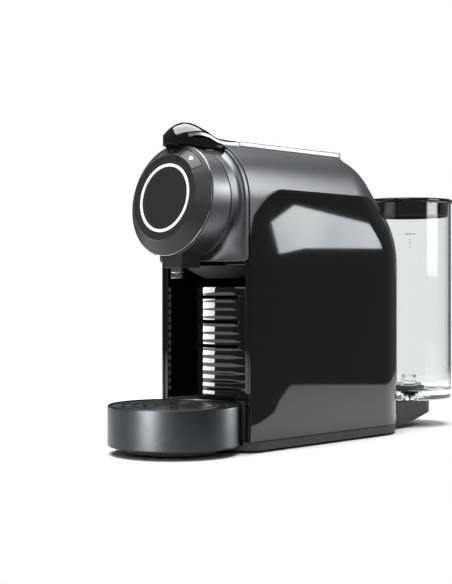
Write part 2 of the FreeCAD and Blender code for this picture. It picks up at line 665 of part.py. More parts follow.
piston = rod(piston_radius, V(0, capsule_rear_y + 0.5, crown_axis_z),
             V(0, capsule_rear_y + piston_length, crown_axis_z))
groove_y = capsule_rear_y + 8.0
piston = piston.cut(tube(piston_radius + 1, piston_radius - seal_depth, V(0, groove_y, crown_axis_z),
                         V(0, groove_y + seal_width, crown_axis_z)))
tail = block(-link_inner_x + 0.3, link_inner_x - 0.3, capsule_rear_y + piston_length - 1, link_end_y + 6,
             crown_axis_z - 6, crown_axis_z + 6)
piston_pin = rod(crank_pin_radius, V(-link_inner_x - link_thick - 1, link_end_y, crown_axis_z),
                 V(link_inner_x + link_thick + 1, link_end_y, crown_axis_z))
needles = [Part.makeCone(1.0, 0.1, needle_length, V(8 * math.cos(a), capsule_rear_y + 0.7, crown_axis_z
                                                    + 8 * math.sin(a)), V(0, -1, 0))
           for a in (math.pi / 2, math.pi * 7 / 6, math.pi * 11 / 6)]
save("brew_piston", fuse(piston, tail, piston_pin))
save("piston_seal", tube(piston_radius + piston_clearance - 0.05, piston_radius - seal_depth,
                         V(0, groove_y + 0.1, crown_axis_z), V(0, groove_y + seal_width - 0.1, crown_axis_z)))
save("piercing_needles", *[needle.cut(block(-40, 40, capsule_rear_y + 0.5, 60, 0, 300)) for needle in needles])

link_from = V(0, link_end_y, crown_axis_z)
link_to = V(0, crank_y, crank_z)
links = []
for x in (link_inner_x, -link_inner_x - link_thick):
    eye_low = rod(5.0, V(x, link_from.y, link_from.z), V(x + link_thick, link_from.y, link_from.z))
    eye_high = rod(crank_pin_radius + link_loose + 2.6, V(x, link_to.y, link_to.z),
                   V(x + link_thick, link_to.y, link_to.z))
    along = (link_to - link_from).normalize()
    side = V(0, -along.z, along.y) * 4.0
    corners = [link_from + side, link_from - side, link_to - side, link_to + side]
    bar = plate_yz([(corner.y, corner.z) for corner in corners], x, x + link_thick)
    link = fuse(bar, eye_low, eye_high)
    link = link.cut(rod(crank_pin_radius + pin_clearance, V(-20, link_from.y, link_from.z),
                        V(20, link_from.y, link_from.z)))
    links.append(link.cut(rod(crank_pin_radius + link_loose, V(-20, link_to.y, link_to.z),
                              V(20, link_to.y, link_to.z))))
link_bridge = block(-link_inner_x - 0.5, link_inner_x + 0.5, link_end_y + 28, link_end_y + 32, crown_axis_z + 15,
                    crown_axis_z + 20)
save("toggle_links", fuse(*links, link_bridge))

# ---- lever ----
def crowned_bar(y0, y1):
    """The bar's section: flat below, gently crowned above, with soft edges."""
    half = lever_half_width
    edge_z = lever_low_z + 4.2
    left = V(-half, y0, edge_z)
    right = V(half, y0, edge_z)
    bow = Part.Arc(left, V(0, y0, lever_top_z), right).toShape()
    low_left = V(-half + 0.8, y0, lever_low_z + 0.3)
    low_right = V(half - 0.8, y0, lever_low_z + 0.3)
    outline = [bow, Part.makeLine(right, low_right), Part.makeLine(low_right, low_left), Part.makeLine(low_left, left)]
    return Part.Face(Part.Wire(outline)).extrude(V(0, y1 - y0, 0))


bar = crowned_bar(lever_front_y, lever_rear_y)
bar_rear = Part.makeCylinder(lever_half_width, 40, V(0, lever_rear_y - lever_half_width, 240), Z_AXIS)
bar = bar.cut(block(-30, 30, lever_rear_y - lever_half_width, 300, 240, 290).cut(bar_rear))
rear_round_y = lever_rear_y - lever_half_width
bar_hollow = block(-lever_half_width + lever_rim, lever_half_width - lever_rim, lever_front_y + 6, rear_round_y,
                   lever_low_z - 1, lever_low_z + 3.2)
bar_hollow = bar_hollow.fuse(rod(lever_half_width - lever_rim, V(0, rear_round_y, lever_low_z - 1),
                                 V(0, rear_round_y, lever_low_z + 3.2)))
bar = bar.cut(bar_hollow)
save("lever_bar", bar)

grip_outer = [(lever_front_y - skin_gap, 261.4), (8, 262.4), (-4, 265.2), (-14, 269.6), (-25, grip_top_z),
              (-34, 270.4), (-40, 265.6), (grip_tip_y, 258.5), (grip_tip_y + 0.8, 252.6)]
grip_inner = [(grip_tip_y + 3.4, 253.4), (-37.2, 262.0), (-31.5, 266.6), (-24.5, 268.2), (-14, 265.6), (-3, 261.2),
              (8, 258.4), (lever_front_y - skin_gap, 257.4)]


def smooth_yz(points, x):
    curve = Part.BSplineCurve()
    curve.interpolate([V(x, y, z) for y, z in points])
    return curve.toShape()


grip_left = -lever_half_width
top_edge = smooth_yz(grip_outer, grip_left)
under_edge = smooth_yz(grip_inner, grip_left)
tip_line = Part.makeLine(V(grip_left, *grip_outer[-1]), V(grip_left, *grip_inner[0]))
root_line = Part.makeLine(V(grip_left, *grip_inner[-1]), V(grip_left, *grip_outer[0]))
grip = Part.Face(Part.Wire([top_edge, tip_line, under_edge, root_line])).extrude(V(2 * lever_half_width, 0, 0))
grip_plan = Part.makeCylinder(grip_plan_radius, 80, V(0, grip_tip_y + grip_plan_radius, 220), Z_AXIS)
grip_plan = grip_plan.fuse(block(grip_left, lever_half_width, grip_tip_y + grip_plan_radius, 60, 220, 300))
save("lever_grip", grip.common(grip_plan))

arms = []
for x in (arm_inner_x, -arm_inner_x - arm_thick):
    web = plate_yz([(lever_pivot_y + 0.8, lever_low_z + 3.1), (lever_pivot_y + 0.8, lever_low_z),
                    (lever_pivot_y + 5, lever_low_z - 1.5), (lever_pivot_y + 5, lever_pivot_z - 3.5),
                    (lever_pivot_y - 2, lever_pivot_z - 6), (crank_y + 2, crank_z - 5), (crank_y - 5, crank_z - 1),
                    (crank_y - 12, lever_low_z + 3.1)], x, x + arm_thick)
    arms.append(web)
crank_pin = rod(crank_pin_radius, V(-arm_inner_x - 0.5, crank_y, crank_z), V(arm_inner_x + 0.5, crank_y, crank_z))
pad = block(-arm_inner_x - arm_thick, arm_inner_x + arm_thick, lever_pivot_y - 20, lever_pivot_y - 8,
            lever_low_z + 0.6, lever_low_z + 3.1)
arm_set = fuse(*arms, crank_pin, pad)
arm_set = arm_set.cut(rod(lever_pin_radius + pin_clearance, V(-30, lever_pivot_y, lever_pivot_z),
                          V(30, lever_pivot_y, lever_pivot_z)))
save("lever_arms", arm_set)
pin_start_x = arm_inner_x - 0.4
save("lever_pins", *both_sides(rod(lever_pin_radius, V(pin_start_x, lever_pivot_y, lever_pivot_z),
                                   V(ear_inner_x + ear_thick, lever_pivot_y, lever_pivot_z))))

# ---- capsule port and chute ----
port = rod(barrel_radius - 0.4, V(0, port_front_y, crown_axis_z), V(0, 17.0, crown_axis_z))
port = port.common(block(-port_half_width, port_half_width, port_front_y, 17.0, crown_axis_z + 31.0, 300))
scoop = Part.makeSphere(34.0, V(0, -11.0, crown_axis_z + barrel_radius + 34.0 - port_depth))
port = port.cut(scoop).cut(passage)
save("capsule_port", max(port.Solids, key=lambda solid: solid.Volume))

bowl_rise = head_under_z - 3.4 - chute_low_z
bowl_sphere = (chute_radius ** 2 + bowl_rise ** 2) / (2 * bowl_rise)
chute = Part.makeSphere(bowl_sphere, V(0, chute_y, chute_low_z + bowl_sphere))
chute = chute.cut(Part.makeSphere(bowl_sphere - chute_wall, V(0, chute_y, chute_low_z + bowl_sphere)))
chute = chute.cut(block(-200, 200, -200, 300, head_under_z - 3.4, 500))
chute = chute.cut(rod(chute_mouth_radius, V(0, chute_y, 100), V(0, chute_y, 160)))
save("capsule_chute", chute)

# ---- inside: boards, pump, heater, pipes ----
pump = fuse(rod(16, V(0, pump_y - 34, pump_z), V(0, pump_y + 20, pump_z)),
            block(-18, 18, pump_y - 20, pump_y + 10, pump_z - 18, pump_z + 18),
            rod(5, V(0, pump_y - 44, pump_z), V(0, pump_y + 32, pump_z)))
save("pump", pump)
save("pump_mounts", *[block(-20, 20, y, y + mount_thick, frame_floor_top, pump_z + 20).cut(
    rod(5.2, V(0, y - 1, pump_z), V(0, y + mount_thick + 1, pump_z)))
    for y in (pump_y - 40, pump_y + 25)])
heater = block(-30, 30, 104, 176, heater_low, heater_low + 44)
heater = heater.fuse(rod(4, V(0, 100, heater_low + 22), V(0, 104, heater_low + 22)))
heater = heater.fuse(rod(4, V(0, 176, heater_low + 22), V(0, 181, heater_low + 22)))
save("heater_block", heater)
save("heater_brackets", *[block(x, x + 12.8, 120, 160, heater_low + 10, heater_low + 14)
                          for x in (-frame_inner_x + 0.1, 30.1)])
save("flow_meter", fuse(rod(13, V(0, meter_y, seam_z + skin_gap), V(0, meter_y, frame_floor_top + 16)),
                        rod(3.4, V(0, meter_y - 24, frame_floor_top + 8), V(0, meter_y + 18, frame_floor_top + 8))))
save("control_board", block(-frame_inner_x + 4.3, -frame_inner_x + 6.0, 100, 186, 60, 96),
     *[rod(2.5, V(-frame_inner_x + 0.1, y, z), V(-frame_inner_x + 4.2, y, z)) for y in (106, 180) for z in (66, 90)])


def pipe(radius, bore, points, bend):
    """A hose along straight runs joined by arcs."""
    edges = []
    here = points[0]
    for before, corner, after in zip(points, points[1:], points[2:]):
        back = (before - corner).normalize()
        on = (after - corner).normalize()
        half_turn = (math.pi - back.getAngle(on)) / 2
        reach = bend * math.tan(half_turn)
        enter = corner + back * reach
        leave = corner + on * reach
        middle = corner + (back + on).normalize() * (bend / math.cos(half_turn) - bend)
        edges.append(Part.makeLine(here, enter))
        edges.append(Part.Arc(enter, middle, leave).toShape())
        here = leave
    edges.append(Part.makeLine(here, points[-1]))
    path = Part.Wire(edges)
    ring = Part.Wire(Part.makeCircle(radius, points[0], points[1] - points[0]))
    solid = path.makePipeShell([ring], True, True)
    return solid


hot_pipe = [V(heater_outlet_x, 99.8, heater_low + 22), V(heater_outlet_x, hot_pipe_y, heater_low + 22),
            V(hot_pipe_x, hot_pipe_y, heater_low + 22), V(hot_pipe_x, hot_pipe_y, hot_pipe_top_z),
            V(hot_pipe_x, 60, hot_pipe_top_z), V(chamber_half_width + 0.2, 60, hot_pipe_top_z)]
feed_pipe = [V(0, 181.2, heater_low + 22), V(0, 190, heater_low + 22), V(0, 190, pump_z), V(0, 182.2, pump_z)]
save("feed_hose", pipe(3.0, 1.5, feed_pipe, 5.0))
save("hot_water_pipe", pipe(2.5, 1.5, hot_pipe, 5.0))

# ---- tank bracket, tank, lid, valve ----
bracket_root_y = cover_back_y + 0.2
bracket_end_y = bracket_round_y + bracket_half_width
bracket_top_z = tank_low_z - tank_seat_gap
bracket = plate_yz([(bracket_root_y - 18, plate_low_z), (bracket_root_y - 2, plate_low_z),
                    (bracket_mid_y, bracket_mid_z), (bracket_slope_y, bracket_slope_z),
                    (bracket_end_y, bracket_end_low_z), (bracket_end_y, bracket_top_z),
                    (bracket_root_y - 18, bracket_top_z)], -bracket_half_width, bracket_half_width)
bracket_plan = block(-bracket_half_width, bracket_half_width, bracket_root_y - 18, bracket_round_y, 0, tank_low_z)
bracket_plan = bracket_plan.fuse(Part.makeCylinder(bracket_half_width, tank_low_z, V(0, bracket_round_y, 0), Z_AXIS))
bracket = bracket.common(bracket_plan)
cover_clear = Part.makeCylinder(body_half_width + panel_proud + skin_gap, 200, V(0, rear_axis_y, 0), Z_AXIS)
bracket = bracket.cut(cover_clear)
coupling_seat = rod(coupling_radius + 3.0, V(0, valve_y, tank_low_z - 9), V(0, valve_y, 60))
bracket = bracket.cut(coupling_seat)
save("tank_bracket", bracket)
coupling = fuse(rod(coupling_radius + 2.9, V(0, valve_y, tank_low_z - 8.9), V(0, valve_y, tank_low_z - 3)),
                rod(coupling_radius, V(0, valve_y, tank_low_z - 4), V(0, valve_y, tank_low_z + 4)))
save("inlet_coupling", coupling)

tank = Part.makeCylinder(tank_radius, tank_top_z - tank_low_z, V(0, tank_axis_y, tank_low_z), Z_AXIS)
tank = tank.cut(Part.makeCylinder(tank_radius - tank_wall, 300, V(0, tank_axis_y, tank_low_z + tank_floor), Z_AXIS))
valve_seat = Part.makeCylinder(valve_radius + 2, 12, V(0, valve_y, tank_low_z), Z_AXIS)
tank = tank.fuse(valve_seat).removeSplitter()
tank = tank.cut(rod(coupling_radius + 0.6, V(0, valve_y, 0), V(0, valve_y, tank_low_z + 6)))
tank = tank.cut(rod(valve_radius - 3, V(0, valve_y, tank_low_z + 5), V(0, valve_y, tank_low_z + 20)))
save("water_tank", tank)

lid = turned_z([(0, lid_top_z), (lid_rim_radius - 1.2, lid_top_z), (lid_rim_radius, lid_top_z - 1.2),
                (lid_rim_radius, lid_top_z - 2.8), (lid_rim_radius - 0.8, tank_top_z + lid_gap),
                (tank_radius - tank_wall - lid_gap, tank_top_z + lid_gap),
                (tank_radius - tank_wall - lid_gap - 0.6, tank_top_z - lid_skirt_depth),
                (tank_radius - tank_wall - lid_gap - 2.6, tank_top_z - lid_skirt_depth),
                (tank_radius - tank_wall - lid_gap - 2.6, lid_top_z - 2.4), (0, lid_top_z - 2.4)], 0, tank_axis_y)
save("tank_lid", lid)

valve_low = tank_low_z + 4.3
valve = fuse(rod(coupling_radius - 1.0, V(0, valve_y, valve_low), V(0, valve_y, valve_low + 12)),
             rod(valve_radius - 3.4, V(0, valve_y, valve_low + valve_lift + 1.1),
                 V(0, valve_y, valve_low + valve_lift + 3.8)))
save("tank_valve", valve)
cap_z = tank_low_z + 12.2
save("valve_cage", fuse(tube(valve_radius + 1.5, valve_radius - 2.8, V(0, valve_y, cap_z), V(0, valve_y, cap_z + 2)),
                        tube(valve_radius - 3.6, coupling_radius - 0.6, V(0, valve_y, cap_z + 8),
                             V(0, valve_y, cap_z + 10)),
                        *[rod(1.2, V(x, valve_y, cap_z + 1), V(x * 0.72, valve_y, cap_z + 9)) for x in (-9.0, 9.0)]))

# ---- screws ----
save("base_screws", *[fuse(Part.makeCylinder(screw_head_radius, 2.2, V(x, y, plate_low_z + 0.1), Z_AXIS),
                           Part.makeCylinder(screw_radius - 0.1, 11, V(x, y, plate_low_z + 2.0), Z_AXIS))
                      for x, y in base_screw_places])
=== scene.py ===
import math
import bmesh
import bpy
from mathutils import Matrix, Vector


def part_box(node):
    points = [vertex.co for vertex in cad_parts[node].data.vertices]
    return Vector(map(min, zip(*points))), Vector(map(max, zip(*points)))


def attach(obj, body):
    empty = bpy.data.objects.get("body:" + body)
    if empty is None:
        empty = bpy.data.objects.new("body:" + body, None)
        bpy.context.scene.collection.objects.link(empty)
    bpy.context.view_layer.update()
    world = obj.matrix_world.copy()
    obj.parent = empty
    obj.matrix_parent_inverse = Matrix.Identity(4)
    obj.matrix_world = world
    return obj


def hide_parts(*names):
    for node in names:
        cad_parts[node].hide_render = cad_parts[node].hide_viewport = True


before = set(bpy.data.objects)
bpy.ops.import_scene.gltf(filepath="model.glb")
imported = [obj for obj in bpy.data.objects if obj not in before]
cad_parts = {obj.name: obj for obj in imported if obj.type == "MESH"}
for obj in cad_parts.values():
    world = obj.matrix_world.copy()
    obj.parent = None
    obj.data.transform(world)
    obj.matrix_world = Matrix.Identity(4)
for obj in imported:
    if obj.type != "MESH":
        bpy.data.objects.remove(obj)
bpy.context.view_layer.update()
scene = bpy.context.scene
# the body's front plane. Forms below are in millimetres from it and from the table
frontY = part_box("body_shell")[0].y
toMetres = 0.001
wide = 80            # cutters reach this far to each side
print("frame loaded")


# forms, all in millimetres
def onlyVerts(geom):
    return [g for g in geom if isinstance(g, bmesh.types.BMVert)]


def onlyEdges(geom):
    return [g for g in geom if isinstance(g, bmesh.types.BMEdge)]


def toMesh(bm, name="form"):
    mesh = bpy.data.meshes.new(name)
    bm.to_mesh(mesh)
    bm.free()
    return mesh


def addObject(name, data):
    obj = bpy.data.objects.new(name, data)
    scene.collection.objects.link(obj)
    return obj


def addBlock(bm, x0, x1, y0, y1, z0, z1):
    made = bmesh.ops.create_cube(bm, size=1)["verts"]
    bmesh.ops.scale(bm, vec=(x1 - x0, y1 - y0, z1 - z0), verts=made)
    bmesh.ops.translate(bm, vec=((x0 + x1) / 2, (y0 + y1) / 2, (z0 + z1) / 2), verts=made)
    return made


def newBlock(*sides):
    bm = bmesh.new()
    addBlock(bm, *sides)
    return bm


def addRod(bm, radius, start, end, segments=64):
    along = Vector(end) - Vector(start)
    turn = along.to_track_quat("Z", "Y").to_matrix().to_4x4()
    place = Matrix.Translation((Vector(start) + Vector(end)) / 2) @ turn
    bmesh.ops.create_cone(bm, cap_ends=True, segments=segments, radius1=radius, radius2=radius,
        depth=along.length, matrix=place)


def newRod(*args, **options):
    bm = bmesh.new()
    addRod(bm, *args, **options)
    return bm


# profile: (radius, height) pairs. Turned about Z, or about Y where height is depth behind the face
def addTurned(bm, profile, centre=(0, 0, 0), about="Z", steps=128, begin=0.0, sweep=360.0):
    cx, cy, cz = centre
    if about == "Z":
        verts = [bm.verts.new((cx + r, cy, cz + h)) for r, h in profile]
        axis = (0, 0, 1)
    else:
        verts = [bm.verts.new((cx, cy + h, cz + r)) for r, h in profile]
        axis = (0, 1, 0)
    edges = [bm.edges.new(pair) for pair in zip(verts, verts[1:] + verts[:1])]
    if begin:
        turn = Matrix.Rotation(math.radians(begin), 3, Vector(axis))
        bmesh.ops.rotate(bm, cent=centre, matrix=turn, verts=verts)
    whole = sweep >= 360
    made = bmesh.ops.spin(bm, geom=verts + edges, cent=centre, axis=axis, angle=math.radians(sweep),
        steps=steps, use_merge=whole)
    if not whole:
        for end in (edges, onlyEdges(made["geom_last"])):
            bmesh.ops.contextual_create(bm, geom=end)


def newTurned(*args, **options):
    bm = bmesh.new()
    addTurned(bm, *args, **options)
    bmesh.ops.remove_doubles(bm, verts=bm.verts, dist=0.001)
    return bm


# a flat outline with its own corner radii, given thickness; plane "YZ" grows along X, "XY" along Z
def newOutline(points, radii, low, high, plane="XY", segments=10):
    bm = bmesh.new()
    place = (lambda a, b: (low, a, b)) if plane == "YZ" else (lambda a, b: (a, b, low))
    corners = [bm.verts.new(place(a, b)) for a, b in points]
    bm.faces.new(corners)
    for corner, radius in zip(corners, radii):
        if radius:
            bmesh.ops.bevel(bm, geom=[corner], offset=radius, segments=segments, affect="VERTICES", profile=0.5,
                material=-1)
    bm.faces.ensure_lookup_table()
    grown = bmesh.ops.extrude_face_region(bm, geom=bm.faces[:])["geom"]
    step = Vector((high - low, 0, 0)) if plane == "YZ" else Vector((0, 0, high - low))
    bmesh.ops.translate(bm, vec=step, verts=onlyVerts(grown))
    return bm


def newPlate(x0, x1, y0, y1, radii, low, high, plane="XY", segments=10):
    return newOutline([(x0, y0), (x1, y0), (x1, y1), (x0, y1)], radii, low, high, plane, segments)


# an outline in Y and Z drawn as a smooth curve, given width along X
def newCurved(points, halfWidth, sharp=()):
    curve = bpy.data.curves.new("outline", "CURVE")
    curve.dimensions = "2D"
    curve.fill_mode = "BOTH"
    curve.extrude = halfWidth
    curve.resolution_u = 10
    spline = curve.splines.new("BEZIER")
    spline.bezier_points.add(len(points) - 1)
    spline.use_cyclic_u = True
    for i, (y, z) in enumerate(points):
        knot = spline.bezier_points[i]
        knot.co = (y, z, 0)
        knot.handle_left_type = knot.handle_right_type = "AUTO"
    for i in sharp:
        spline.bezier_points[i].handle_left_type = spline.bezier_points[i].handle_right_type = "VECTOR"
    obj = addObject("outline", curve)
    bpy.context.view_layer.update()
    mesh = bpy.data.meshes.new_from_object(obj.evaluated_get(bpy.context.evaluated_depsgraph_get()))
    bm = bmesh.new()
    bm.from_mesh(mesh)
    bpy.data.objects.remove(obj)
    bpy.data.curves.remove(curve)
    bpy.data.meshes.remove(mesh)
    bmesh.ops.remove_doubles(bm, verts=bm.verts, dist=0.01)
    turn = Matrix(((0, 0, 1), (1, 0, 0), (0, 1, 0)))          # the curve's X, Y and Z become Y, Z and X
    bmesh.ops.transform(bm, matrix=turn.to_4x4(), verts=bm.verts)
    return bm


def throughModifier(bm, kind, other=None, **settings):
    bmesh.ops.recalc_face_normals(bm, faces=bm.faces)
    made = [addObject("form", toMesh(form)) for form in ([bm, other] if other else [bm])]
    modifier = made[0].modifiers.new("step", kind)
    if other:
        modifier.object = made[1]
    for key, value in settings.items():
        setattr(modifier, key, value)
    bpy.context.view_layer.update()
    shaped = made[0].evaluated_get(bpy.context.evaluated_depsgraph_get()).to_mesh()
    result = bmesh.new()
    result.from_mesh(shaped)
    for obj in made:
        mesh = obj.data
        bpy.data.objects.remove(obj)
        bpy.data.meshes.remove(mesh)
    return result


def cut(bm, cutter, operation="DIFFERENCE"):
    bmesh.ops.recalc_face_normals(cutter, faces=cutter.faces)
    return throughModifier(bm, "BOOLEAN", cutter, operation=operation, solver="EXACT")


def thicken(bm, wall):
    bmesh.ops.recalc_face_normals(bm, faces=bm.faces)
    return throughModifier(bm, "SOLIDIFY", thickness=wall, offset=-1, use_even_offset=True,
        use_quality_normals=True)


def mirrored(bm):
    copy = bm.copy()
    bmesh.ops.scale(copy, vec=(-1, 1, 1), verts=copy.verts)
    bmesh.ops.reverse_faces(copy, faces=copy.faces)
    return copy


def join(*forms):
    whole = forms[0]
    for form in forms[1:]:
        mesh = toMesh(form)
        whole.from_mesh(mesh)
        bpy.data.meshes.remove(mesh)
    return whole


def turnForm(bm, angle, axis):
    bmesh.ops.rotate(bm, cent=(0, 0, 0), matrix=Matrix.Rotation(angle, 3, axis), verts=bm.verts)


def moveForm(bm, *step):
    bmesh.ops.translate(bm, vec=step, verts=bm.verts)


def tiltToFace(bm):
    turnForm(bm, math.radians(-face["tilt"]), "X")
    moveForm(bm, 0, face["y"], face["z"])
    return bm


pieces = {}
mergeDist = 0.004


# a slot such as gloss_black has the finish glossBlack, unless a piece asks for another
def finishOf(slot):
    first, *rest = slot.split("_")
    return first + "".join(word.title() for word in rest)


# the last step of every piece: clean the mesh, take it to the frame, round its edges, let it ride
def makePiece(bm, name, slot, nodes=(), body="body", edge=0.35, segments=2, angle=30, finish=None):
    bmesh.ops.remove_doubles(bm, verts=bm.verts, dist=mergeDist)
    bmesh.ops.dissolve_degenerate(bm, dist=mergeDist, edges=bm.edges)
    bmesh.ops.delete(bm, geom=[e for e in bm.edges if e.is_wire], context="EDGES")
    bmesh.ops.recalc_face_normals(bm, faces=bm.faces)
    bmesh.ops.scale(bm, vec=(toMetres,) * 3, verts=bm.verts)
    moveForm(bm, 0, frontY, 0)
    finishPiece(bm, name, slot, nodes, body, edge, segments, angle, finish)


def finishPiece(bm, name, slot, nodes, body, edge, segments, angle, finish):
    mesh = toMesh(bm, name)
    mesh.shade_smooth()
    mesh.materials.append(materials[finish or finishOf(slot)])
    obj = addObject(name, mesh)
    if edge:
        rounding = obj.modifiers.new("soft edges", "BEVEL")
        rounding.width = edge * toMetres
        rounding.segments = segments
        rounding.limit_method = "ANGLE"
        rounding.angle_limit = math.radians(angle)
        rounding.use_clamp_overlap = False
        rounding.miter_outer = "MITER_ARC"
    even = obj.modifiers.new("even shading", "WEIGHTED_NORMAL")
    even.keep_sharp = True
    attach(obj, body)
    if nodes:
        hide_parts(*nodes)
    pieces[name] = obj


# a CAD node that only needs softer edges: a merged copy of its mesh stands for it
def softened(node, name, slot, body="body", edge=0.3, segments=2, finish=None):
    bm = bmesh.new()
    bm.from_mesh(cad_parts[node].data)
    bmesh.ops.remove_doubles(bm, verts=bm.verts, dist=1e-6)
    bmesh.ops.dissolve_limit(bm, angle_limit=math.radians(0.5), use_dissolve_boundaries=False, verts=bm.verts,
        edges=bm.edges)
    finishPiece(bm, name, slot, (node,), body, edge, segments, 30, finish)


# effects that several finishes share

def newGroup(name, inputs, outputs):
    tree = bpy.data.node_groups.new(name, "ShaderNodeTree")
    for label, value in inputs:
        tree.interface.new_socket(label, in_out="INPUT", socket_type="NodeSocketFloat").default_value = value
    for label in outputs:
        tree.interface.new_socket(label, in_out="OUTPUT", socket_type="NodeSocketFloat")
    return tree, tree.nodes.new("NodeGroupInput"), tree.nodes.new("NodeGroupOutput")


def setPlain(node, values):
    for label, value in values.items():
        node.inputs[label].default_value = value


def addMath(tree, operation, a, b=None, clamp=False):
    node = tree.nodes.new("ShaderNodeMath")
    node.operation = operation
    node.use_clamp = clamp
    for socket, value in zip(node.inputs, (a, b)):
        if isinstance(value, (int, float)):
            socket.default_value = value
        elif value is not None:
            tree.links.new(value, socket)
    return node.outputs[0]


def addRange(tree, value, fromLow, fromHigh, toLow=0.0, toHigh=1.0):
    node = tree.nodes.new("ShaderNodeMapRange")
    setPlain(node, {"From Min": fromLow, "From Max": fromHigh, "To Min": toLow, "To Max": toHigh})
    tree.links.new(value, node.inputs["Value"])
    return node.outputs["Result"]


def addNoise(tree, scale, detail=4.0, roughness=0.55, vector=None):
    node = tree.nodes.new("ShaderNodeTexNoise")
    setPlain(node, {"Detail": detail, "Roughness": roughness})
    if isinstance(scale, (int, float)):
        node.inputs["Scale"].default_value = scale
    else:
        tree.links.new(scale, node.inputs["Scale"])
    if vector is None:
        vector = tree.nodes.new("ShaderNodeTexCoord").outputs["Object"]
    tree.links.new(vector, node.inputs["Vector"])
    return node.outputs["Fac"]


# slow wipe marks and finger traces, 0 to 1
smudgeTree, given, out = newGroup("wipeMarks", [("Scale", 14.0)], ["Mask"])
broad = addNoise(smudgeTree, given.outputs["Scale"], 3.0, 0.6)
fine = addNoise(smudgeTree, addMath(smudgeTree, "MULTIPLY", given.outputs["Scale"], 9.0), 2.0, 0.5)
blended = addMath(smudgeTree, "MULTIPLY_ADD", fine, 0.25)
layered = addMath(smudgeTree, "ADD", broad, blended)
smudgeTree.links.new(addRange(smudgeTree, layered, 0.45, 1.05), out.inputs["Mask"])

# fine grain of paint or moulded plastic, as a height
grainTree, given, out = newGroup("fineGrain", [("Scale", 2500.0)], ["Height"])
cells = grainTree.nodes.new("ShaderNodeTexVoronoi")
grainTree.links.new(grainTree.nodes.new("ShaderNodeTexCoord").outputs["Object"], cells.inputs["Vector"])
grainTree.links.new(given.outputs["Scale"], cells.inputs["Scale"])
ripple = addNoise(grainTree, addMath(grainTree, "MULTIPLY", given.outputs["Scale"], 0.35), 2.0, 0.5)
grainTree.links.new(addMath(grainTree, "ADD", cells.outputs["Distance"], ripple), out.inputs["Height"])

# worn or polished edges, 0 to 1
wearTree, given, out = newGroup("edgeWear", [("Amount", 1.0)], ["Mask"])
sharpness = wearTree.nodes.new("ShaderNodeNewGeometry").outputs["Pointiness"]
edges = addRange(wearTree, sharpness, 0.52, 0.62)
patchy = addRange(wearTree, addNoise(wearTree, 160.0, 5.0), 0.4, 0.65)
wearTree.links.new(addMath(wearTree, "MULTIPLY", addMath(wearTree, "MULTIPLY", edges, patchy),
    given.outputs["Amount"], True), out.inputs["Mask"])

# dust that settles on faces that look up, 0 to 1
dustTree, given, out = newGroup("settledDust", [("Amount", 0.3)], ["Mask"])
up = dustTree.nodes.new("ShaderNodeSeparateXYZ")
dustTree.links.new(dustTree.nodes.new("ShaderNodeNewGeometry").outputs["Normal"], up.inputs["Vector"])
facing = addRange(dustTree, up.outputs["Z"], 0.2, 1.0)
specks = addRange(dustTree, addNoise(dustTree, 1400.0, 2.0, 0.4), 0.62, 0.75)
dustTree.links.new(addMath(dustTree, "MULTIPLY", addMath(dustTree, "MULTIPLY", facing, specks),
    given.outputs["Amount"], True), out.inputs["Mask"])

# long fine lines of brushed metal, as a height. The axis is the piece's long side
brushTree, given, out = newGroup("brushedLines", [("Across", 900.0), ("Along", 12.0)], ["Height"])
stretch = brushTree.nodes.new("ShaderNodeCombineXYZ")
brushTree.links.new(given.outputs["Across"], stretch.inputs["X"])
brushTree.links.new(given.outputs["Along"], stretch.inputs["Y"])
brushTree.links.new(given.outputs["Across"], stretch.inputs["Z"])
spread = brushTree.nodes.new("ShaderNodeVectorMath")
spread.operation = "MULTIPLY"
brushTree.links.new(brushTree.nodes.new("ShaderNodeTexCoord").outputs["Object"], spread.inputs[0])
brushTree.links.new(stretch.outputs["Vector"], spread.inputs[1])
brushTree.links.new(addNoise(brushTree, 1.0, 3.0, 0.6, spread.outputs["Vector"]), out.inputs["Height"])

groups = {"wipeMarks": smudgeTree, "fineGrain": grainTree, "edgeWear": wearTree, "settledDust": dustTree,
    "brushedLines": brushTree}


def addGroup(tree, name, output, **values):
    node = tree.nodes.new("ShaderNodeGroup")
    node.node_tree = groups[name]
    setPlain(node, values)
    return node.outputs[output]


def addMix(tree, mask, a, b):
    node = tree.nodes.new("ShaderNodeMix")
    node.data_type = "RGBA"
    tree.links.new(mask, node.inputs["Factor"])
    for socket, value in ((node.inputs["A"], a), (node.inputs["B"], b)):
        if isinstance(value, (tuple, list)):
            socket.default_value = (*value[:3], 1)
        else:
            tree.links.new(value, socket)
    return node.outputs["Result"]


# worn: colour of rubbed edges. rough: clean and smudged. grain or brush: scale and strength. marks: smudge scale

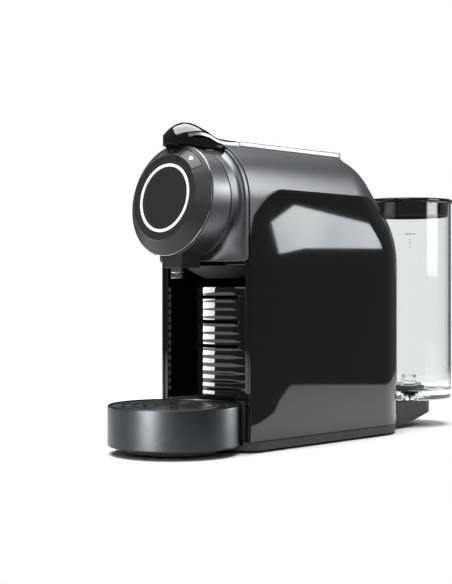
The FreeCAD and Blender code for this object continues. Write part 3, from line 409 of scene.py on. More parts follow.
finishes = {
    "gunmetal": dict(colour=(0.135, 0.136, 0.140), worn=(0.26, 0.26, 0.27), rough=(0.28, 0.36), metallic=0.95,
    grain=(5200, 0.035), marks=9, wear=0.35, dust=0.10),
    # a darker copy of the gunmetal for the drip tray: painted shade that holds down the floor's reflection in its
    # wall
    "trayMetal": dict(colour=(0.036, 0.037, 0.039), worn=(0.20, 0.20, 0.21), rough=(0.30, 0.37), metallic=0.95,
    grain=(5200, 0.03), marks=9, wear=0.35, dust=0.08),
    "glossBlack": dict(colour=(0.0038, 0.0038, 0.004), worn=0.02, rough=(0.012, 0.035),
    grain=(900, 0.003), marks=16, wear=0.1, dust=0.08, coat=0.2),
    "satinBlack": dict(colour=(0.018, 0.018, 0.019), worn=0.06, rough=(0.26, 0.38),
    grain=(3600, 0.06), marks=12, wear=0.3, dust=0.14),
    "darkPlastic": dict(colour=(0.030, 0.030, 0.031), worn=0.09, rough=(0.36, 0.50),
    grain=(2600, 0.12), marks=14, wear=0.35, dust=0.18),
    "faceGrey": dict(colour=(0.026, 0.0255, 0.025), worn=0.09, rough=(0.30, 0.40),
    grain=(4200, 0.05), marks=12, wear=0.3, dust=0.08, shine=0.28),
    "silverLever": dict(colour=(0.78, 0.785, 0.79), worn=0.9, rough=(0.20, 0.30), metallic=1.0,
    brush=(900, 10, 0.05), marks=14, wear=0.4, dust=0.08),
    "brightTrim": dict(colour=(0.40, 0.40, 0.41), worn=0.7, rough=(0.05, 0.12), metallic=1.0,
    grain=(1500, 0.006), marks=22, wear=0.3, dust=0.05),
    "steel": dict(colour=(0.58, 0.58, 0.59), worn=0.75, rough=(0.25, 0.38), metallic=1.0,
    brush=(700, 40, 0.08), marks=20, wear=0.4, dust=0.08),
    "softRubber": dict(colour=0.020, worn=0.05, rough=(0.62, 0.78),
    grain=(1800, 0.22), marks=18, wear=0.2, dust=0.25),
    "innerPlastic": dict(colour=(0.30, 0.31, 0.32), worn=0.42, rough=(0.42, 0.55),
    grain=(2000, 0.12), marks=12, wear=0.25, dust=0.15),
    "heaterMetal": dict(colour=(0.60, 0.61, 0.62), worn=0.72, rough=(0.38, 0.52), metallic=1.0,
    grain=(900, 0.3), marks=20, wear=0.4, dust=0.15),
    "boardGreen": dict(colour=(0.02, 0.13, 0.05), worn=(0.3, 0.26, 0.12), rough=(0.22, 0.32),
    grain=(700, 0.12), marks=40, wear=0.5, dust=0.1),
    "hoseClear": dict(colour=(0.62, 0.62, 0.58), worn=(0.7, 0.7, 0.66), rough=(0.28, 0.40),
    grain=(900, 0.06), marks=24, wear=0.2, dust=0.1, through=0.35),
    "pumpBody": dict(colour=(0.13, 0.14, 0.16), worn=0.4, rough=(0.35, 0.48), metallic=0.4,
    grain=(1600, 0.15), marks=18, wear=0.5, dust=0.15),
    "ringWhite": dict(colour=(0.80, 0.81, 0.80), worn=0.85, rough=(0.25, 0.35),
    grain=(1800, 0.02), marks=20, wear=0.1, dust=0.03, glow=(0.92, 0.96, 1.0, 0.55)),
    "iconLit": dict(colour=(0.80, 0.82, 0.84), worn=0.8, rough=(0.30, 0.36),
    grain=(1800, 0.02), marks=30, wear=0.0, dust=0.0, glow=(0.85, 0.93, 1.0, 1.6)),
    "iconDim": dict(colour=(0.16, 0.16, 0.17), worn=0.2, rough=(0.30, 0.36),
    grain=(1800, 0.02), marks=30, wear=0.0, dust=0.0),
}
materials = {}
smudgeTint = 0.86
dustColour, dustRough = (0.35, 0.34, 0.32), 0.4


def newMaterial(name):
    materials[name] = bpy.data.materials.new(name)
    materials[name].use_nodes = True
    tree = materials[name].node_tree
    return tree, tree.nodes["Principled BSDF"]


def addBump(tree, shader, height, distance, strength):
    bump = tree.nodes.new("ShaderNodeBump")
    setPlain(bump, {"Distance": distance, "Strength": strength})
    tree.links.new(height, bump.inputs["Height"])
    tree.links.new(bump.outputs["Normal"], shader.inputs["Normal"])


# one number stands for a neutral grey
def asColour(value):
    return (value,) * 3 if isinstance(value, float) else value


def buildFinish(name, f):
    tree, shader = newMaterial(name)
    plainColour = asColour(f["colour"])
    marks = addGroup(tree, "wipeMarks", "Mask", Scale=f["marks"])
    colour = addMix(tree, marks, tuple(c * smudgeTint for c in plainColour), plainColour)
    colour = addMix(tree, addGroup(tree, "edgeWear", "Mask", Amount=f["wear"]), colour, asColour(f["worn"]))
    dust = addGroup(tree, "settledDust", "Mask", Amount=f["dust"])
    tree.links.new(addMix(tree, dust, colour, dustColour), shader.inputs["Base Color"])
    roughness = addRange(tree, marks, 0, 1, *f["rough"])
    roughness = addMath(tree, "ADD", roughness, addMath(tree, "MULTIPLY", dust, dustRough), True)
    tree.links.new(roughness, shader.inputs["Roughness"])
    if "brush" in f:
        across, along, strength = f["brush"]
        height = addGroup(tree, "brushedLines", "Height", Across=across, Along=along)
    else:
        scale, strength = f["grain"]
        height = addGroup(tree, "fineGrain", "Height", Scale=scale)
    addBump(tree, shader, height, 0.0002, strength)
    plain = {"Metallic": f.get("metallic", 0.0), "Specular IOR Level": f.get("shine", 0.5),
        "Coat Weight": f.get("coat", 0.0), "Coat Roughness": 0.01, "Transmission Weight": f.get("through", 0.0)}
    if "glow" in f:
        *tint, plain["Emission Strength"] = f["glow"]
        plain["Emission Color"] = (*tint, 1)
    setPlain(shader, plain)


for finishName, settings in finishes.items():
    buildFinish(finishName, settings)


# clear moulded plastic: nearly colourless, with faint flow waves
def buildClear(name, tint, rough):
    tree, shader = newMaterial(name)
    marks = addGroup(tree, "wipeMarks", "Mask", Scale=7)
    tree.links.new(addMix(tree, marks, tint, [1.04 * c for c in tint]), shader.inputs["Base Color"])
    tree.links.new(addRange(tree, marks, 0, 1, *rough), shader.inputs["Roughness"])
    addBump(tree, shader, addNoise(tree, 24.0, 1.0), 0.0004, 0.04)
    setPlain(shader, {"Transmission Weight": 1.0, "IOR": 1.38})


buildClear("clearTank", (0.875, 0.88, 0.88), (0.0, 0.03))
buildClear("clearValve", (0.93, 0.935, 0.935), (0.05, 0.12))
print("finishes made:", len(materials))

# the shell, the two glossy side panels and the rear cover
body = {"halfWidth": 52.0, "wall": 2.5, "crownZ": 206.3, "rearY": 181.0, "topBend": 8.0, "topAngle": 46.0,
    "slant": 37.0, "rearBend": 30.0, "lowZ": 9.6, "tongueZ": 150.0, "slotHalf": 20.2, "slotEnd": 176.8,
    "slotCorner": 8.0}
crownZ = body["crownZ"]
panel = {"halfWidth": 52.6, "wall": 2.8, "topZ": 217.0, "rearY": 212.0, "frontRadius": 44.0, "rearRadius": 58.0,
    "lowRadius": 9.0, "footRadius": 1.0, "gap": 0.3}


# the round-topped section, drawn once and swept back, over the slant and down the back
def archForm(halfWidth, wall, startY=-6.0, lowZ=0.0):
    bm = bmesh.new()
    turn = math.radians(body["topAngle"])
    slant = Vector((0, math.cos(turn), -math.sin(turn))) * body["slant"]
    bendY = body["rearY"] - (body["topBend"] * math.sin(turn) + slant.y + body["rearBend"] * (1 - math.sin(turn)))
    side = bm.verts.new((halfWidth, startY, crownZ))
    bmesh.ops.spin(bm, geom=[side], cent=(0, startY, crownZ), axis=(0, 1, 0), angle=-math.pi, steps=72)
    rim = bm.edges[:]

    def pull(edges, vector):
        grown = bmesh.ops.extrude_edge_only(bm, edges=edges)["geom"]
        bmesh.ops.translate(bm, vec=vector, verts=onlyVerts(grown))
        return onlyEdges(grown)

    def bend(edges, centre, angle, steps):
        grown = bmesh.ops.spin(bm, geom=edges, cent=centre, axis=(-1, 0, 0), angle=angle,
            steps=steps)["geom_last"]
        return onlyEdges(grown)

    rim = pull(rim, (0, bendY - startY, 0))
    rim = bend(rim, (0, bendY, crownZ - body["topBend"]), turn, 14)
    rim = pull(rim, slant)
    endZ = crownZ - body["topBend"] * (1 - math.cos(turn)) + slant.z
    rearCentre = (0, body["rearY"] - body["rearBend"], endZ - body["rearBend"] * math.cos(turn))
    rim = bend(rim, rearCentre, math.pi / 2 - turn, 14)
    pull(rim, (0, 0, lowZ - rearCentre[2]))
    flanks = [e for e in bm.edges if e.is_boundary and all(abs(abs(v.co.x) - halfWidth) < 0.01
        for v in e.verts) and abs(e.verts[0].co.y - e.verts[1].co.y) > 0.01]
    grown = bmesh.ops.extrude_edge_only(bm, edges=flanks)["geom"]
    for v in onlyVerts(grown):
        v.co.z = lowZ
    bmesh.ops.remove_doubles(bm, verts=bm.verts, dist=0.01)
    return thicken(bm, wall)


def panelOutline(grow, x0, x1):
    y0, y1 = -grow, panel["rearY"] + grow
    z0, z1 = body["lowZ"] - grow, panel["topZ"] + grow
    radii = [panel["footRadius"], panel["lowRadius"] + grow, panel["rearRadius"] + grow,
        panel["frontRadius"] + grow]
    return newPlate(y0, y1, z0, z1, radii, x0, x1, "YZ", 28)


shell = archForm(body["halfWidth"], body["wall"])
leverSlot = newPlate(-body["slotHalf"], body["slotHalf"], -20, body["slotEnd"],
    [0, 0, body["slotCorner"], body["slotCorner"]], crownZ + 20, 300)
for cutter in (join(panelOutline(panel["gap"], 20, 80), panelOutline(panel["gap"], -80, -20)),
        newBlock(-wide, wide, panel["rearY"] + panel["gap"], 400, -20, body["tongueZ"]),
        newBlock(-wide, wide, -20, panel["rearY"] + 1, -20, 100), newBlock(-wide, wide, -20, 0, -20, 300),
        leverSlot):
    shell = cut(shell, cutter)
makePiece(shell, "bodyShell", "gunmetal", ("body_shell",), edge=0.3)

sideSkin = cut(archForm(panel["halfWidth"], panel["wall"]), panelOutline(0, 20, 80), "INTERSECT")
makePiece(mirrored(sideSkin), "sidePanelFar", "gloss_black", ("left_side_panel",), edge=0.9, segments=4)
makePiece(sideSkin, "sidePanelNear", "gloss_black", ("right_side_panel",), edge=0.9, segments=4)

cover = cut(archForm(panel["halfWidth"], panel["wall"]), newBlock(-wide, wide, panel["rearY"] + 0.6, 400,
    body["lowZ"], body["tongueZ"] - 0.15), "INTERSECT")
back = {"socket": (-11.0, 11.0, 62.0, 84.0), "switch": (-8.0, 8.0, 98.0, 118.0), "corner": 1.0, "deep": 120,
    "ventHeights": (128.0, 134.0, 140.0), "ventPlaces": (-22.0, 0.0, 22.0), "ventHalf": 7, "ventHigh": 2.4,
    "ventCorner": 1.1}
holes = [(*back["socket"], back["corner"], 10), (*back["switch"], back["corner"], 10)]
for z in back["ventHeights"]:
    for x in back["ventPlaces"]:
        holes.append((x - back["ventHalf"], x + back["ventHalf"], z, z + back["ventHigh"], back["ventCorner"], 5))
openings = bmesh.new()
for x0, x1, z0, z1, corner, segments in holes:
    openings = join(openings, newPlate(x0, x1, z0, z1, [corner] * 4, 0, back["deep"], segments=segments))
turnForm(openings, math.pi / 2, "X")
moveForm(openings, 0, 300, 0)
makePiece(cut(cover, openings), "rearCover", "satin_black", ("rear_cover",), edge=0.35)
print("body done")

# plinth and feet
base = {"inset": 0.6, "lowZ": 2.0, "topZ": 9.3, "discRadius": 38.8, "discTop": 6.3, "neckHalf": 24.0}
tray = {"radius": 54.5, "axisY": -35.6, "lowZ": 6.6, "topZ": 40.1, "wall": 2.4, "gap": 0.6}
trayR, trayY, trayTop, trayLow = tray["radius"], tray["axisY"], tray["topZ"], tray["lowZ"]
half = body["halfWidth"] - base["inset"]
plinth = newOutline([(half, body["rearY"]), (half, 8), (30, -10), (-30, -10), (-half, 8),
    (-half, body["rearY"])], [0, 6, 4, 4, 6, 0], base["lowZ"], base["topZ"], segments=6)
plinth = cut(plinth, newRod(half, (0, body["rearY"], base["lowZ"]), (0, body["rearY"], base["topZ"]), 96),
    "UNION")
plinth = cut(plinth, newBlock(-60, 60, -20, 1, base["discTop"], 20))
plinth = cut(plinth, newRod(trayR + tray["gap"], (0, trayY, base["discTop"]), (0, trayY, 60), 160))
plinth = cut(plinth, newRod(base["discRadius"], (0, trayY, base["lowZ"]), (0, trayY, base["discTop"]), 160),
    "UNION")
plinth = cut(plinth, newBlock(-base["neckHalf"], base["neckHalf"], trayY, -2, base["lowZ"], base["discTop"]),
    "UNION")
feet = {"places": [(-38, 24), (38, 24), (-38, 172), (38, 172), (-20, -46), (20, -46)], "well": 7.0,
    "wellTop": 2.5, "radius": 6.75, "high": 2.45, "round": 0.75, "steps": 48}
pads, wells = bmesh.new(), bmesh.new()
for x, y in feet["places"]:
    addRod(wells, feet["well"], (x, y, -5), (x, y, feet["wellTop"]), feet["steps"])
    addTurned(pads, [(0, 0), (feet["radius"] - feet["round"], 0), (feet["radius"], 0.7),
        (feet["radius"], feet["high"]), (0, feet["high"])], (x, y, 0), steps=feet["steps"])
makePiece(cut(plinth, wells), "basePlinth", "dark_plastic", ("base_plate",), edge=0.5, segments=3)
makePiece(pads, "rubberPads", "soft_rubber", ("rubber_feet",), edge=0.2)

# drip tray and its grille
wallIn = trayR - tray["wall"]
ledgeZ = trayTop - 4.0
trayForm = newTurned([(0, trayLow), (trayR - 1.4, trayLow), (trayR - 0.4, trayLow + 0.5),
    (trayR, trayLow + 1.6), (trayR, trayTop - 1.5), (trayR - 0.35, trayTop - 0.5), (trayR - 1.2, trayTop),
    (wallIn + 0.3, trayTop), (wallIn, trayTop - 0.4), (wallIn, ledgeZ), (wallIn - 3, ledgeZ),
    (wallIn - 3, ledgeZ - 2), (wallIn, ledgeZ - 5), (wallIn, trayLow + tray["wall"] + 2),
    (wallIn - 2, trayLow + tray["wall"]), (0, trayLow + tray["wall"])], (0, trayY, 0), steps=192)
# the tray takes the darker copy of the gunmetal: painted shade
makePiece(trayForm, "dripTray", "gunmetal", ("drip_tray",), "tray", edge=0.25, finish="trayMetal")

grille = {"radius": wallIn - 0.35, "rings": (16.0, 25.0, 34.0, 43.0), "slot": 3.6, "spoke": 3.0}
plate = newTurned([(0, ledgeZ), (grille["radius"], ledgeZ), (grille["radius"], ledgeZ + 2.6),
    (grille["radius"] - 0.4, ledgeZ + 3.0), (0, ledgeZ + 3.0)], (0, trayY, 0), steps=160)
slots = bmesh.new()
for ring in grille["rings"]:
    inner, outer = ring - grille["slot"] / 2, ring + grille["slot"] / 2
    spokeAngle = math.degrees(math.asin(grille["spoke"] / ring))
    for quarter in range(4):
        addTurned(slots, [(inner, ledgeZ - 2), (outer, ledgeZ - 2), (outer, ledgeZ + 6), (inner, ledgeZ + 6)],
            (0, trayY, 0), steps=36, begin=45 + 90 * quarter + spokeAngle, sweep=90 - 2 * spokeAngle)
makePiece(cut(plate, slots), "dripGrille", "satin_black", ("drip_grille",), "grille", edge=0.4, segments=3)
print("base and tray done")

# front bay, tray dock, capsule bin and the chute over it
bay = {"inner": 45.5, "outer": 49.6, "frontY": 0.6, "rearY": 89.7, "lowZ": 9.6, "topZ": 156.8, "wall": 3.0,
    "hole": 30.0}
chute = {"y": 24.0, "radius": 34.0, "lowZ": 141.0, "topZ": 153.6, "mouth": 15.0, "wall": 2.0}
chuteR, chuteLow, chuteY, mouthR = chute["radius"], chute["lowZ"], chute["y"], chute["mouth"]
bayForm = newBlock(-bay["outer"], bay["outer"], bay["frontY"], bay["rearY"], bay["lowZ"], bay["topZ"])
bayForm = cut(bayForm, newBlock(-bay["inner"], bay["inner"], -5, 88.0, 0, bay["topZ"] - bay["wall"]))
bayForm = cut(bayForm, newRod(bay["hole"], (0, chuteY, 140), (0, chuteY, 170), 96))
makePiece(bayForm, "frontBay", "gloss_black", ("front_bay",), edge=0.7, segments=3)

dockPlan = {"gap": 0.2, "frontY": 1.2, "rearY": 87.0, "topZ": 41.2, "hollow": (-39.5, 39.5, 30, 83, 0, 38.2)}
dockHalf = bay["inner"] - dockPlan["gap"]
dock = newBlock(-dockHalf, dockHalf, dockPlan["frontY"], dockPlan["rearY"], bay["lowZ"], dockPlan["topZ"])
dock = cut(dock, newRod(trayR + tray["gap"], (0, trayY, 0), (0, trayY, 60), 192))
dock = cut(dock, newBlock(*dockPlan["hollow"]))
makePiece(dock, "trayDock", "dark_plastic", ("tray_dock",), edge=0.5, segments=3)

drum = {"radius": 42.0, "axisY": 50.0, "lowZ": 42.0, "topZ": 136.0, "wall": 2.2, "rearY": 87.0, "ribs": 14,
    "bulge": 0.32, "slotHeights": (86.2, 106.8, 127.5), "slotHalf": 24.0, "slotHeight": 2.8, "slotDeep": 22.0}
drumR, drumY, drumLow, drumTop = drum["radius"], drum["axisY"], drum["lowZ"], drum["topZ"]
drumRear, drumWall = drum["rearY"], drum["wall"]
ribPitch = (drumTop - drumLow) / drum["ribs"]
ribSteps = 7
ribbed = [(0.0, drumLow)]
for rib in range(drum["ribs"]):
    for step in range(ribSteps):
        swell = math.sin(math.pi * step / ribSteps) * drum["bulge"]
        ribbed.append((drumR + swell, drumLow + (rib + step / ribSteps) * ribPitch))
ribbed += [(drumR, drumTop), (0.0, drumTop)]
binForm = newTurned(ribbed, (0, drumY, 0), steps=128)
binForm = cut(binForm, newBlock(-drumR, drumR, drumY + 2, 100, drumLow + 0.05, drumTop - 0.05), "UNION")
binForm = cut(binForm, newBlock(-wide, wide, -20, drumRear, 0, 200), "INTERSECT")
innerRadius = drumR - drumWall
floorZ = drumLow + drumWall
hollow = newPlate(-innerRadius, innerRadius, drumY, drumRear - drumWall, [0, 0, 4, 4], floorZ, 200)
hollow = cut(hollow, newRod(innerRadius, (0, drumY, floorZ), (0, drumY, 200), 96), "UNION")
binForm = cut(binForm, hollow)
for slotZ in drum["slotHeights"]:
    binForm = cut(binForm, newPlate(-drum["slotHalf"], drum["slotHalf"], -10, drum["slotDeep"], [0, 0, 2, 2],
        slotZ - drum["slotHeight"] / 2, slotZ + drum["slotHeight"] / 2))
makePiece(binForm, "capsuleBin", "gloss_black", ("capsule_bin",), "bin", edge=0.25, angle=40)

bowlRise = chute["topZ"] - chuteLow
bowlSphere = (chuteR ** 2 + bowlRise ** 2) / (2 * bowlRise)
bowl = []
for step in range(13):
    radius = chuteR + (mouthR - chuteR) * step / 12
    bowl.append((radius, chuteLow + bowlSphere - math.sqrt(bowlSphere ** 2 - radius ** 2)))
innerSphere = bowlSphere - chute["wall"]
for step in range(13):
    radius = mouthR + (chuteR - 2.6 - mouthR) * step / 12
    bowl.append((radius, chuteLow + bowlSphere - math.sqrt(innerSphere ** 2 - radius ** 2)))
bowl.append((chuteR - 2.6, chute["topZ"]))
makePiece(newTurned(bowl, (0, chuteY, 0), steps=128), "capsuleChute", "dark_plastic", ("capsule_chute",),
    edge=0.3)
print("bay and bin done")

# barrel and collar
head = {"radius": 46.2, "wall": 2.5, "seamY": -16.5, "collarY": -15.5, "flareY": -10.0, "collarRadius": 51.0,
    "flatY": -4.0, "underZ": 157.0, "portHalf": 27.2, "portFront": -27.2, "portLow": 231.3, "passHalf": 17.0,
    "passFront": -11.0, "passRear": 14.0, "collarWall": 2.2, "rearY": -0.2,
    "notch": (-13.4, 13.4, -60, -16, 0, 167)}
headR = head["radius"]
face = {"y": -46.9, "z": 208.5, "tilt": 9.3, "flat": 35.7, "coneDeep": 7.6, "ringIn": 26.2, "ringOut": 28.3,
    "gap": 0.25, "buttonIn": 31.6, "buttonOut": 43.0, "buttonAngle": 34.0, "buttonPitch": 36.0,
    "buttonGap": 0.3, "signRadius": 39.3}
flatR, ringIn, ringOut, coneDeep = face["flat"], face["ringIn"], face["ringOut"], face["coneDeep"]
portWell = newBlock(-head["portHalf"], head["portHalf"], head["portFront"], 60, head["portLow"], 300)
passage = newBlock(-head["passHalf"], head["passHalf"], head["passFront"], head["passRear"], 0, 400)


def ringAt(y):
    bm = bmesh.new()
    bmesh.ops.create_circle(bm, cap_ends=False, segments=160, radius=headR,
        matrix=Matrix.Translation((0, y, crownZ)) @ Matrix.Rotation(math.pi / 2, 4, "X"))
    return bm


barrel = ringAt(head["seamY"])
grown = bmesh.ops.extrude_edge_only(barrel, edges=barrel.edges[:])["geom"]
bmesh.ops.translate(barrel, vec=(0, -60, 0), verts=onlyVerts(grown))
barrel = thicken(barrel, head["wall"])
barrel = cut(barrel, tiltToFace(newBlock(-wide, wide, -90, coneDeep + 2.4, -100, 100)))
barrel = cut(barrel, portWell.copy())
barrel = cut(barrel, newBlock(*head["notch"]))
makePiece(barrel, "headBarrel", "gunmetal", ("head_barrel",), edge=0.35)

# the collar starts as the barrel's circle and flares, ring by ring, to the body's straight-sided section
collar = ringAt(head["collarY"])
rim = collar.edges[:]
flareSteps = 12
for step in range(0, flareSteps + 2):
    grown = bmesh.ops.extrude_edge_only(collar, edges=rim)["geom"]
    rim = onlyEdges(grown)
    phase = math.pi / 2 * min(step, flareSteps) / flareSteps
    for v in onlyVerts(grown):
        angle = math.atan2(v.co.x, v.co.z - crownZ)
        reach = head["collarRadius"]
        if abs(angle) > math.pi / 2:
            reach = min(reach / max(abs(math.sin(angle)), 1e-6),
                (crownZ - head["underZ"]) / max(abs(math.cos(angle)), 1e-6))
        radius = headR + (reach - headR) * (1 - math.cos(phase))
        v.co.x = radius * math.sin(angle)
        v.co.z = crownZ + radius * math.cos(angle)
        v.co.y = head["flareY"] + (head["flatY"] - head["flareY"]) * math.sin(phase)
        if step > flareSteps:
            v.co.y = head["rearY"]
collar = thicken(collar, head["collarWall"])
collar = cut(cut(collar, portWell), newBlock(-head["passHalf"], head["passHalf"], head["passFront"],
    head["passRear"], 200, 400))
collar = cut(collar, newBlock(-head["passHalf"], head["passHalf"], head["flatY"] + 2.4, head["passRear"], 0, 200))
makePiece(collar, "headCollar", "gunmetal", ("head_collar",), edge=0.35, angle=38)

# face parts: radius and depth behind the face
def sectorForm(inner, outer, centre, width, grow, deep0, deep1, steps=16):
    spread = width + 2 * math.degrees(grow / ((inner + outer) / 2))
    return newTurned([(inner - grow, deep0), (outer + grow, deep0), (outer + grow, deep1),
        (inner - grow, deep1)], about="Y", steps=steps, begin=centre - spread / 2, sweep=spread)


def coneDepth(radius):
    return max(0.0, (radius - flatR) * coneDeep / (headR - flatR))


bezel = newTurned([(ringOut + face["gap"], 0.4), (ringOut + 0.7, 0.05), (flatR - 0.8, 0.0),
    (flatR - 0.35, -0.4), (flatR + 0.05, -0.4), (flatR + 0.6, 0.5), (headR - 0.3, coneDeep - 0.25),
    (headR, coneDeep + 0.1), (headR - 0.3, coneDeep + 0.4), (headR - 2.4, coneDeep + 0.4), (flatR - 0.8, 3.0),
    (ringOut + face["gap"], 3.0)], about="Y", steps=192)
buttonPlan = [("shortCup", "short", -1), ("mediumCup", "medium", 0), ("longCup", "long", 1)]
for label, key, order in buttonPlan:
    bezel = cut(bezel, sectorForm(face["buttonIn"], face["buttonOut"], order * face["buttonPitch"],
        face["buttonAngle"], face["buttonGap"], -5, 20))
makePiece(tiltToFace(bezel), "faceBezel", "face_grey", ("face_bezel",), edge=0.2)
for label, key, order in buttonPlan:
    outerDepth = coneDepth(face["buttonOut"])
    cap = newTurned([(face["buttonIn"], 0.3), (flatR, -0.05), (face["buttonOut"], outerDepth - 0.05),
        (face["buttonOut"], outerDepth + 1.9), (flatR, 2.2), (face["buttonIn"], 2.2)], about="Y", steps=24,
        begin=order * face["buttonPitch"] - face["buttonAngle"] / 2, sweep=face["buttonAngle"])
    makePiece(tiltToFace(cap), label + "Button", "face_grey", (key + "_cup_button",), key + "_button",
        edge=0.35, segments=3, finish="satinBlack")
    # a plain cup sign on each button, larger for the longer cup
    size = 0.8 + 0.18 * order
    sign = newOutline([(-1.5 * size, 1.5 * size), (1.5 * size, 1.5 * size), (1.1 * size, -1.4 * size),
        (-1.1 * size, -1.4 * size)], [0, 0, 0.6 * size, 0.6 * size], 0, 0.22)
    handle = newTurned([(0.55 * size, 0), (0.95 * size, 0), (0.95 * size, 0.22), (0.55 * size, 0.22)],
        (1.35 * size, 0.25 * size, 0), steps=20, begin=-80, sweep=160)
    sign = join(sign, handle)
    turnForm(sign, math.pi / 2, "X")
    turnForm(sign, -math.atan2(coneDeep, headR - flatR), "X")
    moveForm(sign, 0, coneDepth(face["signRadius"]) - 0.02, face["signRadius"])
    turnForm(sign, math.radians(order * face["buttonPitch"]), "Y")
    makePiece(tiltToFace(sign), label + "Sign", "ring_white", (), key + "_button", edge=0.05,
        finish="iconLit" if order == 1 else "iconDim")

disc = newTurned([(0, -0.2), (18, 0), (ringIn - 0.6, 0.3), (ringIn - face["gap"], 0.55),
    (ringIn - face["gap"], 3.0), (0, 3.0)], about="Y", steps=128)
makePiece(tiltToFace(disc), "faceDisc", "satin_black", ("face_disc",), edge=0)
glowRing = newTurned([(ringIn, 0.05), (ringIn + 0.5, -0.4), (ringIn + 1.2, -0.5), (ringOut - 1.2, -0.5),
    (ringOut - 0.5, -0.4), (ringOut, 0.05), (ringOut, 3.0), (ringIn, 3.0)], about="Y", steps=160)
makePiece(tiltToFace(glowRing), "glowRing", "ring_white", ("indicator_ring",), edge=0)
trim = newTurned([(headR - 2.2, 8.2), (headR - 0.1, 8.0), (headR + 0.2, 8.3), (headR + 0.2, 8.9),
    (headR - 0.1, 9.2), (headR - 2.2, 9.2)], about="Y", steps=192)
makePiece(tiltToFace(trim), "bezelTrim", "bright_trim", ("bezel_trim",), edge=0)
print("face done")

# spout
# pairs are for the block's foot and its top
spout = {"z": (151.5, 164.0), "frontY": (-38.0, -38.4), "rearY": (-18.0, -18.0), "frontHalf": (10.0, 13.0),
    "rearHalf": (13.0, 13.2), "y": -31.7, "nozzle": 5.4, "bore": 3.9}
nozzleR, boreR, spoutY = spout["nozzle"], spout["bore"], spout["y"]
spoutForm = newBlock(-1, 1, -1, 1, -1, 1)
for v in spoutForm.verts:
    top, side = v.co.z > 0, "front" if v.co.y < 0 else "rear"
    v.co = (math.copysign(spout[side + "Half"][top], v.co.x), spout[side + "Y"][top], spout["z"][top])
spoutForm = cut(spoutForm, newRod(nozzleR + 0.3, (0, spoutY, 140), (0, spoutY, 156.5), 64))
makePiece(spoutForm, "spoutBlock", "face_grey", ("spout_housing",), edge=0.7, segments=3)
nozzle = newTurned([(boreR, 143.4), (boreR + 0.4, 143.0), (nozzleR - 0.4, 143.0), (nozzleR, 143.4),
    (nozzleR, 146.2), (nozzleR - 0.5, 146.7), (nozzleR - 0.5, 147.5), (nozzleR, 148.0), (nozzleR, 156.4),
    (boreR, 156.4)], (0, spoutY, 0), steps=96)
addBlock(nozzle, -0.7, 0.7, spoutY - boreR - 0.3, spoutY + boreR + 0.3, 143.4, 148)
makePiece(nozzle, "spoutNozzle", "bright_trim", ("spout_nozzle",), edge=0.15)

# capsule port, under the lever
well = {"gap": 0.4, "half": 27, "frontY": -27.0, "rearY": 17.0, "floorUp": 31, "scoopR": 34.0, "scoopY": -11,
    "scoopUp": 25}
port = newRod(headR - well["gap"], (0, well["frontY"], crownZ), (0, well["rearY"], crownZ), 160)
port = cut(port, newBlock(-well["half"], well["half"], -30, well["rearY"], crownZ + well["floorUp"], 300),
    "INTERSECT")
scoop = bmesh.new()
bmesh.ops.create_uvsphere(scoop, u_segments=96, v_segments=64, radius=well["scoopR"],
    matrix=Matrix.Translation((0, well["scoopY"], crownZ + headR + well["scoopUp"])))
port = cut(cut(port, scoop), passage)
makePiece(port, "capsulePort", "satin_black", ("capsule_port",), edge=0.3, angle=35)

# lever bar and grip
lever = {"half": 19.7, "lowZ": 254.3, "edgeZ": 258.5, "topZ": 261.8, "frontY": 22.0, "rearY": 170.0,
    "hollow": 2.6}
barHalf, barLow, barFront = lever["half"], lever["lowZ"], lever["frontY"]
bow = (barHalf ** 2 + (lever["topZ"] - lever["edgeZ"]) ** 2) / (2 * (lever["topZ"] - lever["edgeZ"]))
bar = newRod(bow, (0, barFront, lever["topZ"] - bow), (0, 200, lever["topZ"] - bow), 720)
bar = cut(bar, newBlock(-barHalf, barHalf, 0, 300, barLow, 300), "INTERSECT")
roundY = lever["rearY"] - barHalf
barPlan = newPlate(-barHalf, barHalf, 0, roundY, [0, 0, 0, 0], 240, 290)
barPlan = cut(barPlan, newRod(barHalf, (0, roundY, 240), (0, roundY, 290), 128), "UNION")
bar = cut(bar, barPlan, "INTERSECT")
under = newRod(barHalf - lever["hollow"], (0, roundY, 240), (0, roundY, barLow + 3.2), 96)
under = cut(under, newBlock(-barHalf + lever["hollow"], barHalf - lever["hollow"], barFront + 6, roundY, 240,
    barLow + 3.2), "UNION")
makePiece(cut(bar, under), "leverBar", "silver_lever", ("lever_bar",), "lever", edge=0.8, segments=4)

# outer, inner, cap and core are outlines in Y and Z, the rest half widths and places
grip = {
    "outer": [(21.8, 261.4), (8, 262.4), (-4, 265.2), (-14, 269.6), (-24, 272.0), (-33, 269.2), (-39.2, 263.6),
        (-42.4, 257.2), (-42.2, 252.6)],
    "inner": [(-39.6, 253.4), (-37.0, 260.6), (-31.2, 265.8), (-24.5, 268.2), (-14, 265.6), (-3, 261.2),
        (8, 258.4), (21.8, 257.4)],
    "cap": [(21.8, 260.6), (8, 261.5), (-4, 264.2), (-14, 268.5), (-24, 270.9), (-32.5, 268.3), (-38.4, 263.0),
        (-41.4, 257.0), (-41.3, 253.0)],
    "core": [(-40.4, 253.4), (-38.0, 259.8), (-32.0, 265.4), (-25, 268.4), (-14, 266.6), (-3, 262.6),
        (8, 260.0), (21.8, 259.0)],
    "half": 19.7, "rimHalf": 19.45, "rimHollow": 17.2, "coreHalf": 17.15, "guideHalf": 18.5, "lipY": -33,
    "longer": 8.3, "centreY": -15.0, "reach": 24,
}


# seen from above the grip is a half ellipse at the tip with straight sides behind it
def gripPlan(halfWidth, low=220.0, high=300.0):
    longer, centreY = grip["longer"], grip["centreY"]
    form = newRod(halfWidth, (0, 0, low), (0, 0, high), 128)
    bmesh.ops.scale(form, vec=(1, (halfWidth + longer) / halfWidth, 1), verts=form.verts)
    moveForm(form, 0, centreY, 0)
    return cut(form, newBlock(-halfWidth, halfWidth, centreY, 60, low, high), "UNION")


